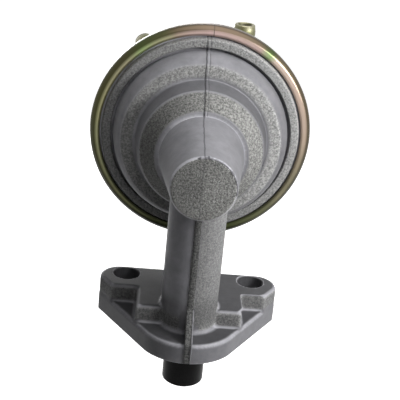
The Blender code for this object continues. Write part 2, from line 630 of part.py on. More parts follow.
def make_diaphragm_group():
    """Diaphragm, its two plates, the pull rod and its nut."""
    low = CENTRE_Y
    hole = ROD_RADIUS + GAP
    middle = (CONVOLUTION_INNER + CONVOLUTION_OUTER) / 2
    half = (CONVOLUTION_OUTER - CONVOLUTION_INNER) / 2
    wave = []
    for step in range(5):
        share = step / 4
        radius = middle + half * (2 * share - 1)
        base = low + (SEAT_Y - low) * share
        wave.append((radius, base - CONVOLUTION_HEIGHT * math.sin(math.pi * share)))
    lower = [(hole, low)] + wave + [(STACK_RADIUS, SEAT_Y)]
    upper = [(radius, y + DIAPHRAGM_THICKNESS) for radius, y in reversed(lower)]
    rubber = ((0.03, 0.03, 0.03), 0.7, 0.0)
    steel = ((0.45, 0.45, 0.45), 0.35, 0.95)
    mesh = revolve("diaphragm", lower + upper, ROUND_MEDIUM)
    add_object("diaphragm", mesh, rubber, on_neck_axis(), TURN_TO_Y)

    under = low - GAP
    section = [(hole, under), (PLATE_RADIUS - PLATE_CURL, under), (PLATE_RADIUS, under - PLATE_CURL)]
    section += [(PLATE_RADIUS - PLATE_LIP, under - PLATE_CURL - PLATE_LIP)]
    section += [(PLATE_RADIUS - PLATE_CURL - 0.0006, under - PLATE_SHEET), (hole, under - PLATE_SHEET)]
    mesh = revolve("lower_diaphragm_plate", section, ROUND_INNER)
    add_object("lower_diaphragm_plate", mesh, steel, on_neck_axis(), TURN_TO_Y)

    over = UPPER_PLATE_Y
    section = [(radius, over + under - y) for radius, y in reversed(section)]
    mesh = revolve("upper_diaphragm_plate", section, ROUND_INNER)
    add_object("upper_diaphragm_plate", mesh, steel, on_neck_axis(), TURN_TO_Y)

    nut = over + PLATE_SHEET + GAP
    stub = nut + ROD_NUT_HEIGHT + 0.0008
    section = [(0.0, HEAD_Y - ROD_HEAD), (ROD_HEAD_RADIUS - 0.0004, HEAD_Y - ROD_HEAD)]
    section += [(ROD_HEAD_RADIUS, HEAD_Y - ROD_HEAD + 0.0004), (ROD_HEAD_RADIUS, HEAD_Y)]
    section += [(ROD_RADIUS, HEAD_Y), (ROD_RADIUS, stub - 0.0003), (ROD_RADIUS - 0.0003, stub)]
    mesh = revolve("pull_rod", section + [(0.0, stub)], ROUND_SMALL, False)
    add_object("pull_rod", mesh, steel, on_neck_axis(), TURN_TO_Y)

    across = ROD_NUT_ACROSS / math.sqrt(3)
    corners = arc(0.0, 0.0, across, 0, 300, 5)
    item = add_object(
        "pull_rod_nut", extrude("pull_rod_nut", corners, nut, nut + ROD_NUT_HEIGHT, 0.0003),
        steel, on_neck_axis(), TURN_TO_Y,
    )
    mesh = rod("nut_bore", hole, nut - 0.001, stub + 0.001, ROUND_SMALL)
    bore = helper("nut_bore", mesh, on_neck_axis(), TURN_TO_Y)
    combine(item, [bore], "DIFFERENCE")


def valve_axis(side):
    """Placement of the inlet (-1) or outlet (+1) valve."""
    return (side * VALVE_SPREAD, PLUNGER_Y, AXIS_HEIGHT)


def make_valve_housing():
    """Housing with the valve floor and the wall that parts inlet from outlet fuel."""
    radius = HOUSING_RADIUS
    bore = radius - HOUSING_WALL
    section = [(0.0, FLOOR_Y), (bore, FLOOR_Y), (bore, HOUSING_Y), (STACK_RADIUS, HOUSING_Y)]
    section += [(STACK_RADIUS, HOUSING_Y + HOUSING_EDGE), (radius, HOUSING_Y + HOUSING_EDGE)]
    section += [(radius, FLOOR_TOP), (0.0, FLOOR_TOP)]
    mesh = revolve("valve_housing", section, ROUND_MEDIUM, False)
    finish = ((0.35, 0.35, 0.36), 0.5, 0.8)
    item = add_object("valve_housing", mesh, finish, on_neck_axis(), TURN_TO_Y)

    # the wall's top edge follows the inside of the cover's sloping back
    below = SHEET / math.cos(CUP_SLOPE) + GAP
    reach = CUP_RADIUS - CUP_DRAFT - CUP_CORNER
    side = radius - GAP
    ridge = [(side, FLOOR_Y + HOUSING_FLOOR / 2), (side, CUP_SIDE_END - SHEET)]
    ridge += [(reach - SHEET, cup_height(reach - SHEET) - below)]
    ridge += [(CROWN_RADIUS, cup_height(CROWN_RADIUS) - below)]
    outline = [(y + PLUNGER_Y, height) for height, y in ridge]
    outline += [(y + PLUNGER_Y, -height) for height, y in reversed(ridge)]
    wall = helper(
        "partition", extrude("partition", outline, -PARTITION / 2, PARTITION / 2),
        (0, 0, AXIS_HEIGHT), TURN_TO_X,
    )
    combine(item, [wall], "UNION")
    for side in (-1, 1):
        port = rod("valve_port", VALVE_PORT_RADIUS, FLOOR_Y - 0.002, FLOOR_TOP + 0.002, 16)
        combine(item, [helper("valve_port", port, valve_axis(side), TURN_TO_Y)], "DIFFERENCE")

    ring = COVER_SEAL
    inner = radius + GAP
    section = [(inner, COVER_SEAL_Y), (STACK_RADIUS, COVER_SEAL_Y)]
    section += [(STACK_RADIUS, COVER_SEAL_Y + ring), (inner, COVER_SEAL_Y + ring)]
    mesh = revolve("cover_seal", section, ROUND_MEDIUM)
    add_object("cover_seal", mesh, ((0.03, 0.03, 0.03), 0.7, 0.0), on_neck_axis(), TURN_TO_Y)


def helix(name, coil, low, high, finish, location, rotation=(0.0, 0.0, 0.0), steps=10, sides=6):
    """A coil spring between two heights, with one closed turn at each end."""
    mean, wire, turns = coil
    curve = bpy.data.curves.new(name, "CURVE")
    curve.dimensions = "3D"
    curve.bevel_depth = wire
    curve.bevel_resolution = (sides - 4) // 2
    curve.use_fill_caps = True
    count = round(turns * steps)
    line = curve.splines.new("POLY")
    line.points.add(count)
    closed = 2.15 * wire
    first, last = low + wire, high - wire
    for index in range(count + 1):
        turn = index / steps
        if turn <= 1:
            height = first + closed * turn
        elif turn >= turns - 1:
            height = last - closed * (turns - turn)
        else:
            share = (turn - 1) / (turns - 2)
            height = first + closed + (last - first - 2 * closed) * share
        angle = 2 * math.pi * turn
        line.points[index].co = (mean * math.cos(angle), mean * math.sin(angle), height, 1.0)
    item = bpy.data.objects.new(name, curve)
    bpy.context.scene.collection.objects.link(item)
    item.location = location
    item.rotation_euler = rotation
    colour, roughness, metallic = finish
    curve.materials.append(material(name + "_finish", colour, roughness, metallic))
    return item


def make_valve(name, side, seat, way):
    """Disc, spring and cage of one valve. The disc lifts off its seat along way."""
    steel = ((0.45, 0.45, 0.45), 0.35, 0.95)
    place = valve_axis(side)
    near = seat + way * GAP
    far = near + way * VALVE_DISC
    hole = CAGE_STEM_RADIUS + GAP
    disc = [(hole, near), (VALVE_DISC_RADIUS, near), (VALVE_DISC_RADIUS, far), (hole, far)]
    black = ((0.05, 0.05, 0.05), 0.6, 0.0)
    add_object(name + "_valve_disc", revolve("disc", disc, ROUND_SMALL), black, place, TURN_TO_Y)

    plate = far + way * (VALVE_LIFT + VALVE_SPRING_ROOM)
    ends = sorted((far + way * GAP, plate - way * GAP))
    coil = (VALVE_SPRING_RADIUS, VALVE_SPRING_WIRE, VALVE_SPRING_TURNS)
    helix(name + "_valve_spring", coil, ends[0], ends[1], steel, place, TURN_TO_Y, 8, 4)

    # the cage's plate, its stem through the disc, and three legs that stand on the seat
    outer = plate + way * CAGE_SHEET
    stem_end = near + way * VALVE_DISC * 0.4
    section = [(0.0, outer), (CAGE_RADIUS, outer), (CAGE_RADIUS, plate), (CAGE_STEM_RADIUS, plate)]
    section += [(CAGE_STEM_RADIUS, stem_end), (0.0, stem_end)]
    mesh = revolve("cage", section, ROUND_SMALL, False)
    cage = add_object(name + "_valve_cage", mesh, steel, place, TURN_TO_Y)
    leg_in = VALVE_DISC_RADIUS + GAP
    ends = sorted((near, outer - way * CAGE_SHEET * 0.5))
    for turn in range(3):
        half = CAGE_LEG_WIDTH / 2
        mesh = block("leg", (leg_in, -half, ends[0]), (CAGE_RADIUS - 0.0001, half, ends[1]))
        for vert in mesh.vertices:
            angle = 2 * math.pi * turn / 3 + math.pi / 2
            x, y = vert.co.x, vert.co.y
            vert.co.x = x * math.cos(angle) - y * math.sin(angle)
            vert.co.y = x * math.sin(angle) + y * math.cos(angle)
        combine(cage, [helper(name + "_leg", mesh, place, TURN_TO_Y)], "UNION")


def make_spring_and_seals():
    """Seal cup on its ledge, rod seal in the cup, and the spring that lifts the diaphragm."""
    steel = ((0.45, 0.45, 0.45), 0.35, 0.95)
    sheet = SEAL_CUP_SHEET
    base = SEAL_SEAT + GAP
    top = base + sheet
    bottom = top - SEAL_CUP_DEPTH
    outer = SEAL_RADIUS + GAP + sheet
    section = [(SEAL_CUP_BORE, bottom), (outer, bottom), (outer, base), (CUP_FLANGE_RADIUS, base)]
    section += [(CUP_FLANGE_RADIUS, top), (outer - sheet, top), (outer - sheet, bottom + sheet)]
    section += [(SEAL_CUP_BORE, bottom + sheet)]
    add_object("seal_cup", revolve("seal_cup", section, ROUND_SMALL), steel, on_neck_axis(), TURN_TO_Y)

    low, high = bottom + sheet + GAP, top
    bore = ROD_RADIUS + RUNNING_GAP
    section = [(bore + 0.0008, low), (SEAL_RADIUS, low), (SEAL_RADIUS, high), (bore + 0.0012, high)]
    section += [(bore, high - 0.0012), (bore, low + 0.0008)]
    rubber = ((0.03, 0.03, 0.03), 0.7, 0.0)
    add_object("rod_seal", revolve("rod_seal", section, ROUND_SMALL), rubber, on_neck_axis(), TURN_TO_Y)

    ends = (top + GAP, CENTRE_Y - 2 * GAP - PLATE_SHEET)
    coil = (MAIN_SPRING_RADIUS, MAIN_SPRING_WIRE, MAIN_SPRING_TURNS)
    helix("diaphragm_spring", coil, ends[0], ends[1], steel, on_neck_axis(), TURN_TO_Y, 12)


def make_plunger_group():
    """Guide bush, plunger and the spring that holds it out."""
    place = (0.0, PLUNGER_Y, 0.0)
    bore = PLUNGER_RADIUS + RUNNING_GAP
    section = [(bore, GAP), (GUIDE_RADIUS, GAP), (GUIDE_RADIUS, GUIDE_LENGTH), (bore, GUIDE_LENGTH)]
    bronze = ((0.42, 0.30, 0.14), 0.35, 0.9)
    add_object("guide_bush", revolve("guide_bush", section, ROUND_INNER), bronze, place)

    tip = -PLUNGER_PROTRUSION
    collar = GUIDE_LENGTH + GAP
    shoulder = collar + COLLAR_HEIGHT
    edge = PLUNGER_TIP_EDGE
    section = [(0.0, tip)] + arc(PLUNGER_RADIUS - edge, tip + edge, edge, -90, 0, 3)
    section += [(PLUNGER_RADIUS, collar), (COLLAR_RADIUS, collar), (COLLAR_RADIUS, shoulder)]
    section += [(SHANK_RADIUS, shoulder), (SHANK_RADIUS, PLUNGER_TOP - SHANK_EDGE)]
    section += [(SHANK_RADIUS - SHANK_EDGE, PLUNGER_TOP), (0.0, PLUNGER_TOP)]
    mesh = revolve("plunger", section, ROUND_INNER, False)
    add_object("plunger", mesh, ((0.025, 0.025, 0.027), 0.38, 0.6), place)
    steel = ((0.30, 0.30, 0.30), 0.4, 0.9)
    ends = (shoulder + GAP, SPRING_BORE_TOP - GAP)
    coil = (PLUNGER_SPRING_RADIUS, PLUNGER_SPRING_WIRE, PLUNGER_SPRING_TURNS)
    helix("plunger_spring", coil, ends[0], ends[1], steel, place)


def link_outline(end_x, end_y, radius, end_radius):
    """Two circles, the first at the origin, wrapped by their tangent lines."""
    distance = math.hypot(end_x, end_y)
    aim = math.degrees(math.atan2(end_y, end_x))
    lean = math.degrees(math.acos((radius - end_radius) / distance))
    far = arc(end_x, end_y, end_radius, aim - lean, aim + lean, 6)
    return far + arc(0.0, 0.0, radius, aim + lean, aim + 360 - lean, 8)


def make_crank():
    """Bell crank: the plunger lifts its tappet arm, and its fork pulls the rod's head."""
    steel = ((0.36, 0.36, 0.36), 0.4, 0.95)
    place = (0.0, PLUNGER_Y + PIN_Y, PIN_Z)
    fork_height = AXIS_HEIGHT - PIN_Z
    hub = rod("crank_hub", HUB_RADIUS, -HUB_HALF_WIDTH, HUB_HALF_WIDTH, ROUND_SMALL)
    crank = add_object("bell_crank", hub, steel, place, TURN_TO_X)
    tappet = link_outline(-PIN_Y, -TAPPET_DROP, TAPPET_ARM_RADIUS, TAPPET_RADIUS)
    mesh = extrude("tappet_arm", tappet, -TAPPET_HALF_WIDTH, TAPPET_HALF_WIDTH)
    parts = [helper("tappet_arm", mesh, place, TURN_TO_X)]
    prong = link_outline(0.0, fork_height, HUB_RADIUS - 0.0004, FORK_NOSE_RADIUS)
    for side in (-1, 1):
        ends = sorted((side * FORK_SLOT, side * (HUB_HALF_WIDTH - 0.0001)))
        parts.append(helper("prong", extrude("prong", prong, ends[0], ends[1]), place, TURN_TO_X))
    combine(crank, parts, "UNION")
    eye = rod("crank_eye", PIN_RADIUS + RUNNING_GAP, -HUB_HALF_WIDTH * 2, HUB_HALF_WIDTH * 2, 14)
    combine(crank, [helper("crank_eye", eye, place, TURN_TO_X)], "DIFFERENCE")

    reach = math.sqrt(neck_radius(PIN_Y) ** 2 - PIN_BELOW ** 2) - PIN_SUNK
    add_object("crank_pin", rod("crank_pin", PIN_RADIUS, -reach, reach, 14), steel, place, TURN_TO_X)


def main():
    """Clear the scene and build every piece."""
    for item in list(bpy.data.objects):
        bpy.data.objects.remove(item, do_unlink=True)
    make_body()
    make_cover()
    make_pipes()
    make_diaphragm_group()
    make_valve_housing()
    make_valve("inlet", -1, FLOOR_Y, -1)
    make_valve("outlet", 1, FLOOR_TOP, 1)
    make_spring_and_seals()
    make_plunger_group()
    make_crank()


main()
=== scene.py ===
"""Looks of the mechanical diaphragm fuel pump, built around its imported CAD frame.

Everything is in metres in the frame of the part: the mounting face is z = 0, the plunger
runs along Z and the neck and pump chamber share an axis along Y. "Along" is a distance
behind the plunger's axis, towards the cover.
"""

import json
import math

import bmesh
import bpy
import numpy as np
from mathutils import Matrix, Vector, noise


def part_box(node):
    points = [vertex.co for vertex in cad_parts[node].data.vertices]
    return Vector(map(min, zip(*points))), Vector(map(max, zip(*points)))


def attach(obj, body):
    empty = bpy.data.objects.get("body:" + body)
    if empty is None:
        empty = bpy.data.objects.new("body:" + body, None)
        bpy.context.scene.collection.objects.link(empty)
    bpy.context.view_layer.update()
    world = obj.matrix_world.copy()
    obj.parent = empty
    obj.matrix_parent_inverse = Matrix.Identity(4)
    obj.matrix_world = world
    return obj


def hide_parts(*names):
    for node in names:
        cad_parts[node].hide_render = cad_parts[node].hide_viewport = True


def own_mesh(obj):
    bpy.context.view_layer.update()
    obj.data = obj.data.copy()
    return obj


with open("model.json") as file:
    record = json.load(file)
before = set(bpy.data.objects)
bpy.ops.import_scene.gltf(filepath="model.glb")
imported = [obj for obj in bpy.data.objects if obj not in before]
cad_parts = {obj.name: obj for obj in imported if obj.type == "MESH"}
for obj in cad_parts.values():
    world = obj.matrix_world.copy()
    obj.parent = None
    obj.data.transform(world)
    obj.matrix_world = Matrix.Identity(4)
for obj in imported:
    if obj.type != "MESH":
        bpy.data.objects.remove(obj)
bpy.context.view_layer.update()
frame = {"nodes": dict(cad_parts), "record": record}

MM = 0.001

# Places taken from the frame
COVER_LOW, COVER_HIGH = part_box("cover")
PLUNGER_LOW, PLUNGER_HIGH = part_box("plunger")
BUSH_LOW, BUSH_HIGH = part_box("guide_bush")
AXIS_HEIGHT = (COVER_LOW.z + COVER_HIGH.z) / 2
PLUNGER_Y = (BUSH_LOW.y + BUSH_HIGH.y) / 2
RIM_RADIUS = (COVER_HIGH.x - COVER_LOW.x) / 2
NECK_REACH = PLUNGER_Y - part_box("body")[0].y
PLUNGER_RADIUS = 7.0 * MM
GUIDE_RADIUS = (BUSH_HIGH.x - BUSH_LOW.x) / 2
GUIDE_TOP = BUSH_HIGH.z
GAP = 0.3 * MM

# Camera, as fitted to the photograph
FRAME_PIXELS = 400
FOCAL_PIXELS = 1000
SENSOR_WIDTH = 36.0
CAMERA_TILT = 22.277
CAMERA_TURN = -3.313
CAMERA_ROLL = 5.647
CAMERA_DISTANCE = 0.322579
CAMERA_TARGET = (0.000206, PLUNGER_Y, 0.050862)

# Floor: white far off, and a little darker near the pump, where its shadow falls
FLOOR = -0.16
SHADOW_REACH = 0.22
SHADOW_GLOW = 0.35

# Dark card that keeps light off the left side
CARD_X = -0.30
CARD_CORNERS = ((-0.6, -0.14), (0.8, -0.14), (0.8, 0.5), (-0.6, 0.5))

# Lamps: name, direction from the object, distance, size, power
LAMPS = [
    ("key", (0.74, -0.46, 0.42), 0.3, 0.12, 1.35),
    ("top", (0.15, -0.08, 1.0), 0.3, 0.3, 0.8),
    ("glint", (0.15, -0.76, 0.60), 0.4, 0.07, 0.15),
    ("front", (0.10, -1.0, 0.45), 0.8, 0.4, 0.05),
    ("back", (-0.12, 1.0, -0.06), 0.7, 0.25, 1.8),
]

# Casting
BOLT_SPACING = 44.0 * MM
BOLT_HOLE_RADIUS = 4.55 * MM
PLATE_THICKNESS = 6.8 * MM
LAND_HEIGHT = 12.8 * MM
BACK_MARGIN = 5.7 * MM
END_MARGIN = 9.2 * MM
CORNER_RADIUS = 7.2 * MM
FRONT_CORNER = 3.6 * MM
NOSE_RADIUS = 17.3 * MM
LAND_HALF_WIDTH = 17.8 * MM
LAND_FRONT = 3.7 * MM
BOSS_FRONT = 10.2 * MM
MOULD_EDGE = 1.1 * MM           # rounding of the upper edges of plate and land
TUBE_RADIUS = 9.5 * MM
TUBE_FOOT_FILLET = 1.5 * MM
GUSSET_WIDTH = 2.2 * MM
GUSSET_PROUD = 0.5 * MM
GUSSET_TOP = 16.5 * MM
SEAM_WIDTH = 2.4 * MM
SEAM_HALF_WIDTH = 0.55 * MM     # the thin mould line over the dome
NECK_END_RADIUS = 10.45 * MM
NECK_END_EDGE = 0.9 * MM
NECK_ROOT_RADIUS = 14.2 * MM
NECK_ROOT = 11.0 * MM           # where the neck meets the cone
CONE_FOOT_RADIUS = 15.3 * MM
CONE_EDGE_RADIUS = 21.2 * MM
CONE_END = 16.6 * MM
BAND_START = 24.7 * MM
BAND_INNER_RADIUS = 22.5 * MM
BAND_OUTER_RADIUS = 26.8 * MM
SHOULDER_WIDTH = 3.6 * MM
SHOULDER_DEPTH = 9.2 * MM
RING_FACE = 32.3 * MM
RING_INNER_RADIUS = 31.4 * MM
RING_OUTER_RADIUS = 34.1 * MM
JOINT_FACE = 36.3 * MM
CRIMP_SEAT = 34.9 * MM
CRIMP_EDGE_RADIUS = 37.35 * MM
GROOVE_DEPTH = 1.2 * MM
VENT_RADIUS = 1.2 * MM
VENT_BELOW = 24.2 * MM
MACHINED = 2.0 * MM             # cast below the mounting face and cut away
VOXEL = 0.44 * MM
FINE_VOXEL = 0.22 * MM
ROUND = 240

# Inside of the casting
NECK_END_WALL = 2.4 * MM
NECK_BORE_END_RADIUS = 8.8 * MM
NECK_BORE_ROOT_RADIUS = 11.0 * MM
SEAL_LEDGE = 14.0 * MM
SEAL_SEAT_RADIUS = 12.7 * MM
CHAMBER_START = 27.3 * MM
CHAMBER_RADIUS = 30.0 * MM
SPRING_BORE_RADIUS = 7.9 * MM
SPRING_BORE_TOP = 44.0 * MM
SHANK_HOLE_RADIUS = 4.6 * MM
PIN_HOLE_RADIUS = 1.75 * MM
PAST = 2.0 * MM                 # how far a cut runs past the face that it opens

# Specks on the casting in millimetres: across, behind the plunger's axis, above the neck's, size
BLEMISHES = [
    (18.4, 14.6, -4.6, 0.30), (22.1, 24.5, -6.0, 0.35), (22.4, 24.6, -4.9, 0.25),
    (-17.0, 13.9, 5.0, 0.22), (-23.8, 24.8, 7.0, 0.25),
]

# Fuel pipes
PIPE_RADIUS = 3.85 * MM
PIPE_WALL = 1.2 * MM
PIPE_BEAD = 0.3 * MM
PIPE_BEAD_LENGTH = 2.4 * MM
PIPE_INSIDE = 2.2 * MM
INLET_TURN = math.radians(48.1)
INLET_ROOT_RADIUS = 23.65 * MM
INLET_LENGTH = 24.0 * MM
OUTLET_SIDE = 14.7 * MM
OUTLET_ROOT_HEIGHT = 8.5 * MM
OUTLET_STRAIGHT = 5.0 * MM
OUTLET_BEND_RADIUS = 10.0 * MM
OUTLET_TOP = 32.2 * MM

# Plunger, guide and pin
COLLAR_RADIUS = 7.65 * MM
COLLAR_HEIGHT = 3.0 * MM
SHANK_RADIUS = 2.9 * MM
SHANK_EDGE = 0.8 * MM
GUIDE_BORE = 7.25 * MM
PIN_RADIUS = 1.5 * MM

# Cover
SHEET = 1.1 * MM
LIP_RADIUS = 35.2 * MM
COVER_FACE = 39.6 * MM          # inner face of the cover's flange
RIM_TAPER = 0.4 * MM
CUP_RADIUS = 32.95 * MM
CUP_SIDE_END = 52.9 * MM
CUP_SLOPE = math.radians(15)
CROWN_RADIUS = 9.0 * MM
CUP_CORNER = 2.8 * MM

# Places that follow from the sizes
TUBE_FRONT = PLUNGER_Y - TUBE_RADIUS
RIB_FRONT = PLUNGER_Y - NOSE_RADIUS - GUSSET_PROUD
SEAM_TOP = AXIS_HEIGHT - NECK_END_RADIUS + 1.2 * MM
TURN_TO_X = Matrix.Rotation(math.pi / 2, 4, "Y")
TURN_TO_Y = Matrix.Rotation(-math.pi / 2, 4, "X")
TO_NECK_AXIS = Matrix.Translation((0.0, PLUNGER_Y, AXIS_HEIGHT)) @ TURN_TO_Y
TO_PLUNGER_AXIS = Matrix.Translation((0.0, PLUNGER_Y, 0.0))

# Colours of the casting
SMOOTH_DARK = (0.150, 0.150, 0.160)
SMOOTH_LIGHT = (0.225, 0.223, 0.238)
SAND_DARK = (0.10, 0.10, 0.095)
SAND_MIDDLE = (0.26, 0.26, 0.25)
SAND_LIGHT = (0.46, 0.46, 0.44)
# Painted shadow along the edges of the mould line
SEAM_SHADOW_COLOUR = (0.045, 0.045, 0.048)

# Tints of the plating at angles round the neck axis, from the outlet's side over the top, with painted
# shade on the lower side and a painted highlight at the upper right
RIM_TINTS_AND_LIGHT = [
    (-180, (0.20, 0.20, 0.11)), (-144, (0.07, 0.07, 0.035)), (-108, (0.05, 0.055, 0.025)),
    (-79, (0.07, 0.085, 0.03)), (-43, (0.11, 0.11, 0.065)), (-18, (0.22, 0.19, 0.13)),
    (6, (0.40, 0.31, 0.24)), (25, (0.47, 0.36, 0.30)), (52, (0.50, 0.41, 0.34)),
    (59, (0.24, 0.34, 0.15)), (66, (0.42, 0.32, 0.28)), (90, (0.50, 0.36, 0.34)),
    (106, (0.34, 0.26, 0.20)), (124, (0.24, 0.31, 0.13)), (137, (0.26, 0.24, 0.15)),
    (162, (0.24, 0.23, 0.12)), (180, (0.20, 0.20, 0.11)),
]
# Brown of the rim's outer band, darkened by painted shade
RIM_OUTSIDE_BROWN_SHADE = (0.20, 0.20, 0.15)
RIM_MARK = 1.4 * MM              # scratch across the rim at its top


# Shapes

def rounded(corners, steps=5):
    """An open polyline with its inner corners rounded; each corner is (x, y, radius)."""
    points = [corners[0][:2]]
    for before, corner, after in zip(corners, corners[1:], corners[2:]):
        here = Vector(corner[:2])
        back = Vector(before[:2]) - here
        ahead = Vector(after[:2]) - here
        radius = corner[2] if len(corner) > 2 else 0.0
        angle = back.angle(ahead) if radius else math.pi
        if not radius or angle > math.radians(179):
            points.append(tuple(here))
            continue
        reach = min(radius / math.tan(angle / 2), back.length * 0.49, ahead.length * 0.49)
        start, end = here + back.normalized() * reach, here + ahead.normalized() * reach
        for step in range(steps + 1):
            share = step / steps
            low = start.lerp(here, share)
            points.append(tuple(low.lerp(here.lerp(end, share), share)))
    return points + [corners[-1][:2]]


def arc(centre_x, centre_y, radius, start_deg, end_deg, steps, radius_y=None):
    """Points on a circular or elliptical arc, both ends included."""
    tall = radius if radius_y is None else radius_y
    angles = [math.radians(start_deg + (end_deg - start_deg) * i / steps) for i in range(steps + 1)]
    return [(centre_x + radius * math.cos(a), centre_y + tall * math.sin(a)) for a in angles]


def spaced(points, longest):
    """The polyline with extra points, so that no step is longer than the given length."""
    made = [points[0]]
    for before, after in zip(points, points[1:]):
        count = max(1, math.ceil(math.dist(before, after) / longest))
        for step in range(1, count + 1):
            share = step / count
            made.append(tuple(b + (a - b) * share for b, a in zip(before, after)))
    return made


def placed(name, data):
    """A new object of the scene."""
    item = bpy.data.objects.new(name, data)
    bpy.context.scene.collection.objects.link(item)
    return item


def stored(bm, name):
    """A bmesh turned into an object of the scene."""
    mesh = bpy.data.meshes.new(name)
    bm.to_mesh(mesh)
    bm.free()
    return placed(name, mesh)


def mesh_of(bm, name, matrix=None):
    """An object at the origin, its points merged and its place in its vertices."""
    bmesh.ops.remove_doubles(bm, verts=bm.verts, dist=1e-7)
    bmesh.ops.recalc_face_normals(bm, faces=bm.faces)
    if matrix is not None:
        bm.transform(matrix)
    return stored(bm, name)


def revolve(name, profile, steps, matrix, closed=False):
    """Spin (radius, height) points round local Z."""
    bm = bmesh.new()
    verts = [bm.verts.new((radius, 0.0, height)) for radius, height in profile]
    for first, second in zip(verts, verts[1:]):
        bm.edges.new((first, second))
    if closed:
        bm.edges.new((verts[-1], verts[0]))
    bmesh.ops.spin(
        bm, geom=bm.verts[:] + bm.edges[:], cent=(0, 0, 0), axis=(0, 0, 1),
        angle=2 * math.pi, steps=steps, use_merge=True, use_duplicate=False,
    )
    return mesh_of(bm, name, matrix)


def extrude(name, outline, low, high, top_edge=0.0, matrix=None):
    """Extrude an (x, y) outline from low to high, with an optional rounded top edge."""
    bm = bmesh.new()
    floor = bm.faces.new([bm.verts.new((x, y, low)) for x, y in outline])
    moved = bmesh.ops.extrude_face_region(bm, geom=[floor])
    top = [item for item in moved["geom"] if isinstance(item, bmesh.types.BMVert)]
    bmesh.ops.translate(bm, verts=top, vec=(0, 0, high - low))
    if top_edge:
        rim = [edge for edge in bm.edges if all(vert.co.z > high - 1e-7 for vert in edge.verts)]
        bmesh.ops.bevel(bm, geom=rim, offset=top_edge, segments=4, profile=0.5, affect="EDGES")
    return mesh_of(bm, name, matrix)


def baked(item):
    """The object with its modifiers applied."""
    graph = bpy.context.evaluated_depsgraph_get()
    graph.update()
    mesh = bpy.data.meshes.new_from_object(item.evaluated_get(graph))
    item.modifiers.clear()
    item.data = mesh
    return item


def joined(name, items):
    """Several objects as one mesh."""
    bm = bmesh.new()
    for item in items:
        bm.from_mesh(item.data)
        bpy.data.objects.remove(item)
    return stored(bm, name)


def sweep(name, stations, sides, closed=False, flat=1.0):
    """A closed skin through rings along a path; each station is (centre, direction, radius)."""
    bm = bmesh.new()
    rings = []
    for centre, way, radius in stations:
        side = Vector((1, 0, 0)) if abs(way.x) < 0.9 else Vector((0, 0, 1))
        across = (side - way * side.dot(way)).normalized()
        up = way.cross(across) * flat
        turns = [2 * math.pi * step / sides for step in range(sides)]
        spokes = [across * math.cos(turn) + up * math.sin(turn) for turn in turns]
        rings.append([bm.verts.new(centre + spoke * radius) for spoke in spokes])
    following = rings[1:] + rings[:1] if closed else rings[1:]
    for first, second in zip(rings, following):
        for step in range(sides):
            after = (step + 1) % sides
            bm.faces.new((first[step], first[after], second[after], second[step]))
    if not closed:
        bm.faces.new(rings[0])
        bm.faces.new(rings[-1])
    return mesh_of(bm, name)


def lumpy_line(name, points, radius, roughness, sides=8, flat=1.0):
    """A thin raised line along points, whose thickness varies like flash on a casting."""
    neighbours = zip(points[:1] + points, points[1:] + points[-1:])
    ways = [(ahead - back).normalized() for back, ahead in neighbours]
    stations = []
    for index, (point, way) in enumerate(zip(points, ways)):
        lump = noise.noise(point / (1.1 * MM)) + 0.6 * noise.noise(point / (0.45 * MM))
        fade = min(1.0, (index + 0.4) / 3, (len(points) - index - 0.6) / 3)
        stations.append((point, way, radius * fade * max(0.2, 1 + roughness * lump)))
    return sweep(name, stations, sides, flat=flat)


def nub(name, centre, radius, way, flat=0.7):
    """A small uneven lump, about twice as wide as it is high."""
    stations = []
    for step in range(9):
        angle = math.pi * (step + 0.25) / 8.5
        place = centre - way * math.cos(angle) * radius * flat
        stations.append((place, way, radius * math.sin(angle)))
    return roughen(sweep(name, stations, 20), radius * 0.8, radius * 0.35)


def roughen(item, size, height):
    """Move the vertices in and out along their normals by noise of the given size."""
    for vert in item.data.vertices:
        vert.co += vert.normal * height * noise.noise(vert.co / size)
    return item


def softened(item, voxel, iterations):
    """The object remeshed as one skin, its corners soft as a mould leaves them."""
    remesh = item.modifiers.new("Remesh", "REMESH")
    remesh.mode = "VOXEL"
    remesh.voxel_size = voxel
    soften = item.modifiers.new("Soften", "SMOOTH")
    soften.factor = 0.5
    soften.iterations = iterations
    return baked(item)


def combine(item, others, operation):
    """Boolean the others into the object, one after another, and remove them."""
    for other in others:
        step = item.modifiers.new(other.name, "BOOLEAN")
        step.operation = operation
        step.solver = "MANIFOLD"
        step.object = other
    baked(item)
    for other in others:
        bpy.data.objects.remove(other)
    return item


def shade(item, sharp_deg=32.0):
    """Smooth shading, with edges kept sharp above an angle."""
    item.data.shade_smooth()
    item.data.set_sharp_from_angle(angle=math.radians(sharp_deg))
    return item


def paint(item, finish):
    """Make the finish the object's only material."""
    item.data.materials.clear()
    item.data.materials.append(finish)


def dress(item, finish, body, node):
    """Give a piece its material and its body, and hide the CAD node that it stands for."""
    paint(item, finish)
    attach(item, body)
    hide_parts(node)


# Casting

def neck_radius(along):
    """Outer radius of the tapered neck."""
    share = (along + NECK_REACH) / (NECK_ROOT + NECK_REACH)
    return NECK_END_RADIUS + (NECK_ROOT_RADIUS - NECK_END_RADIUS) * share


def nose_touch():
    """Direction, from the plunger's axis, of the point where the slanted side meets the nose."""
    across, ahead = BOLT_SPACING / 2 + END_MARGIN, -FRONT_CORNER - PLUNGER_Y
    turn = math.acos(NOSE_RADIUS / math.hypot(across, ahead))
    return math.degrees(math.atan2(ahead, across) - turn)


def flange_end(tuck):
    """Right end of the plate from the back to its front corner, moved inwards by tuck."""
    end_x = BOLT_SPACING / 2 + END_MARGIN - tuck
    radius = CORNER_RADIUS - tuck
    rear = arc(end_x - radius, BACK_MARGIN - CORNER_RADIUS, radius, 90, 0, 16)
    return rear + [(end_x, -FRONT_CORNER + tuck * 0.5)]


def flange_outline():
    """Plate from above: straight back, two ends and the nose round the plunger."""
    right = flange_end(0.0)
    touch = nose_touch()
    nose = arc(0.0, PLUNGER_Y, NOSE_RADIUS, touch, -180 - touch, 48)
    return right + nose + [(-x, y) for x, y in reversed(right)]


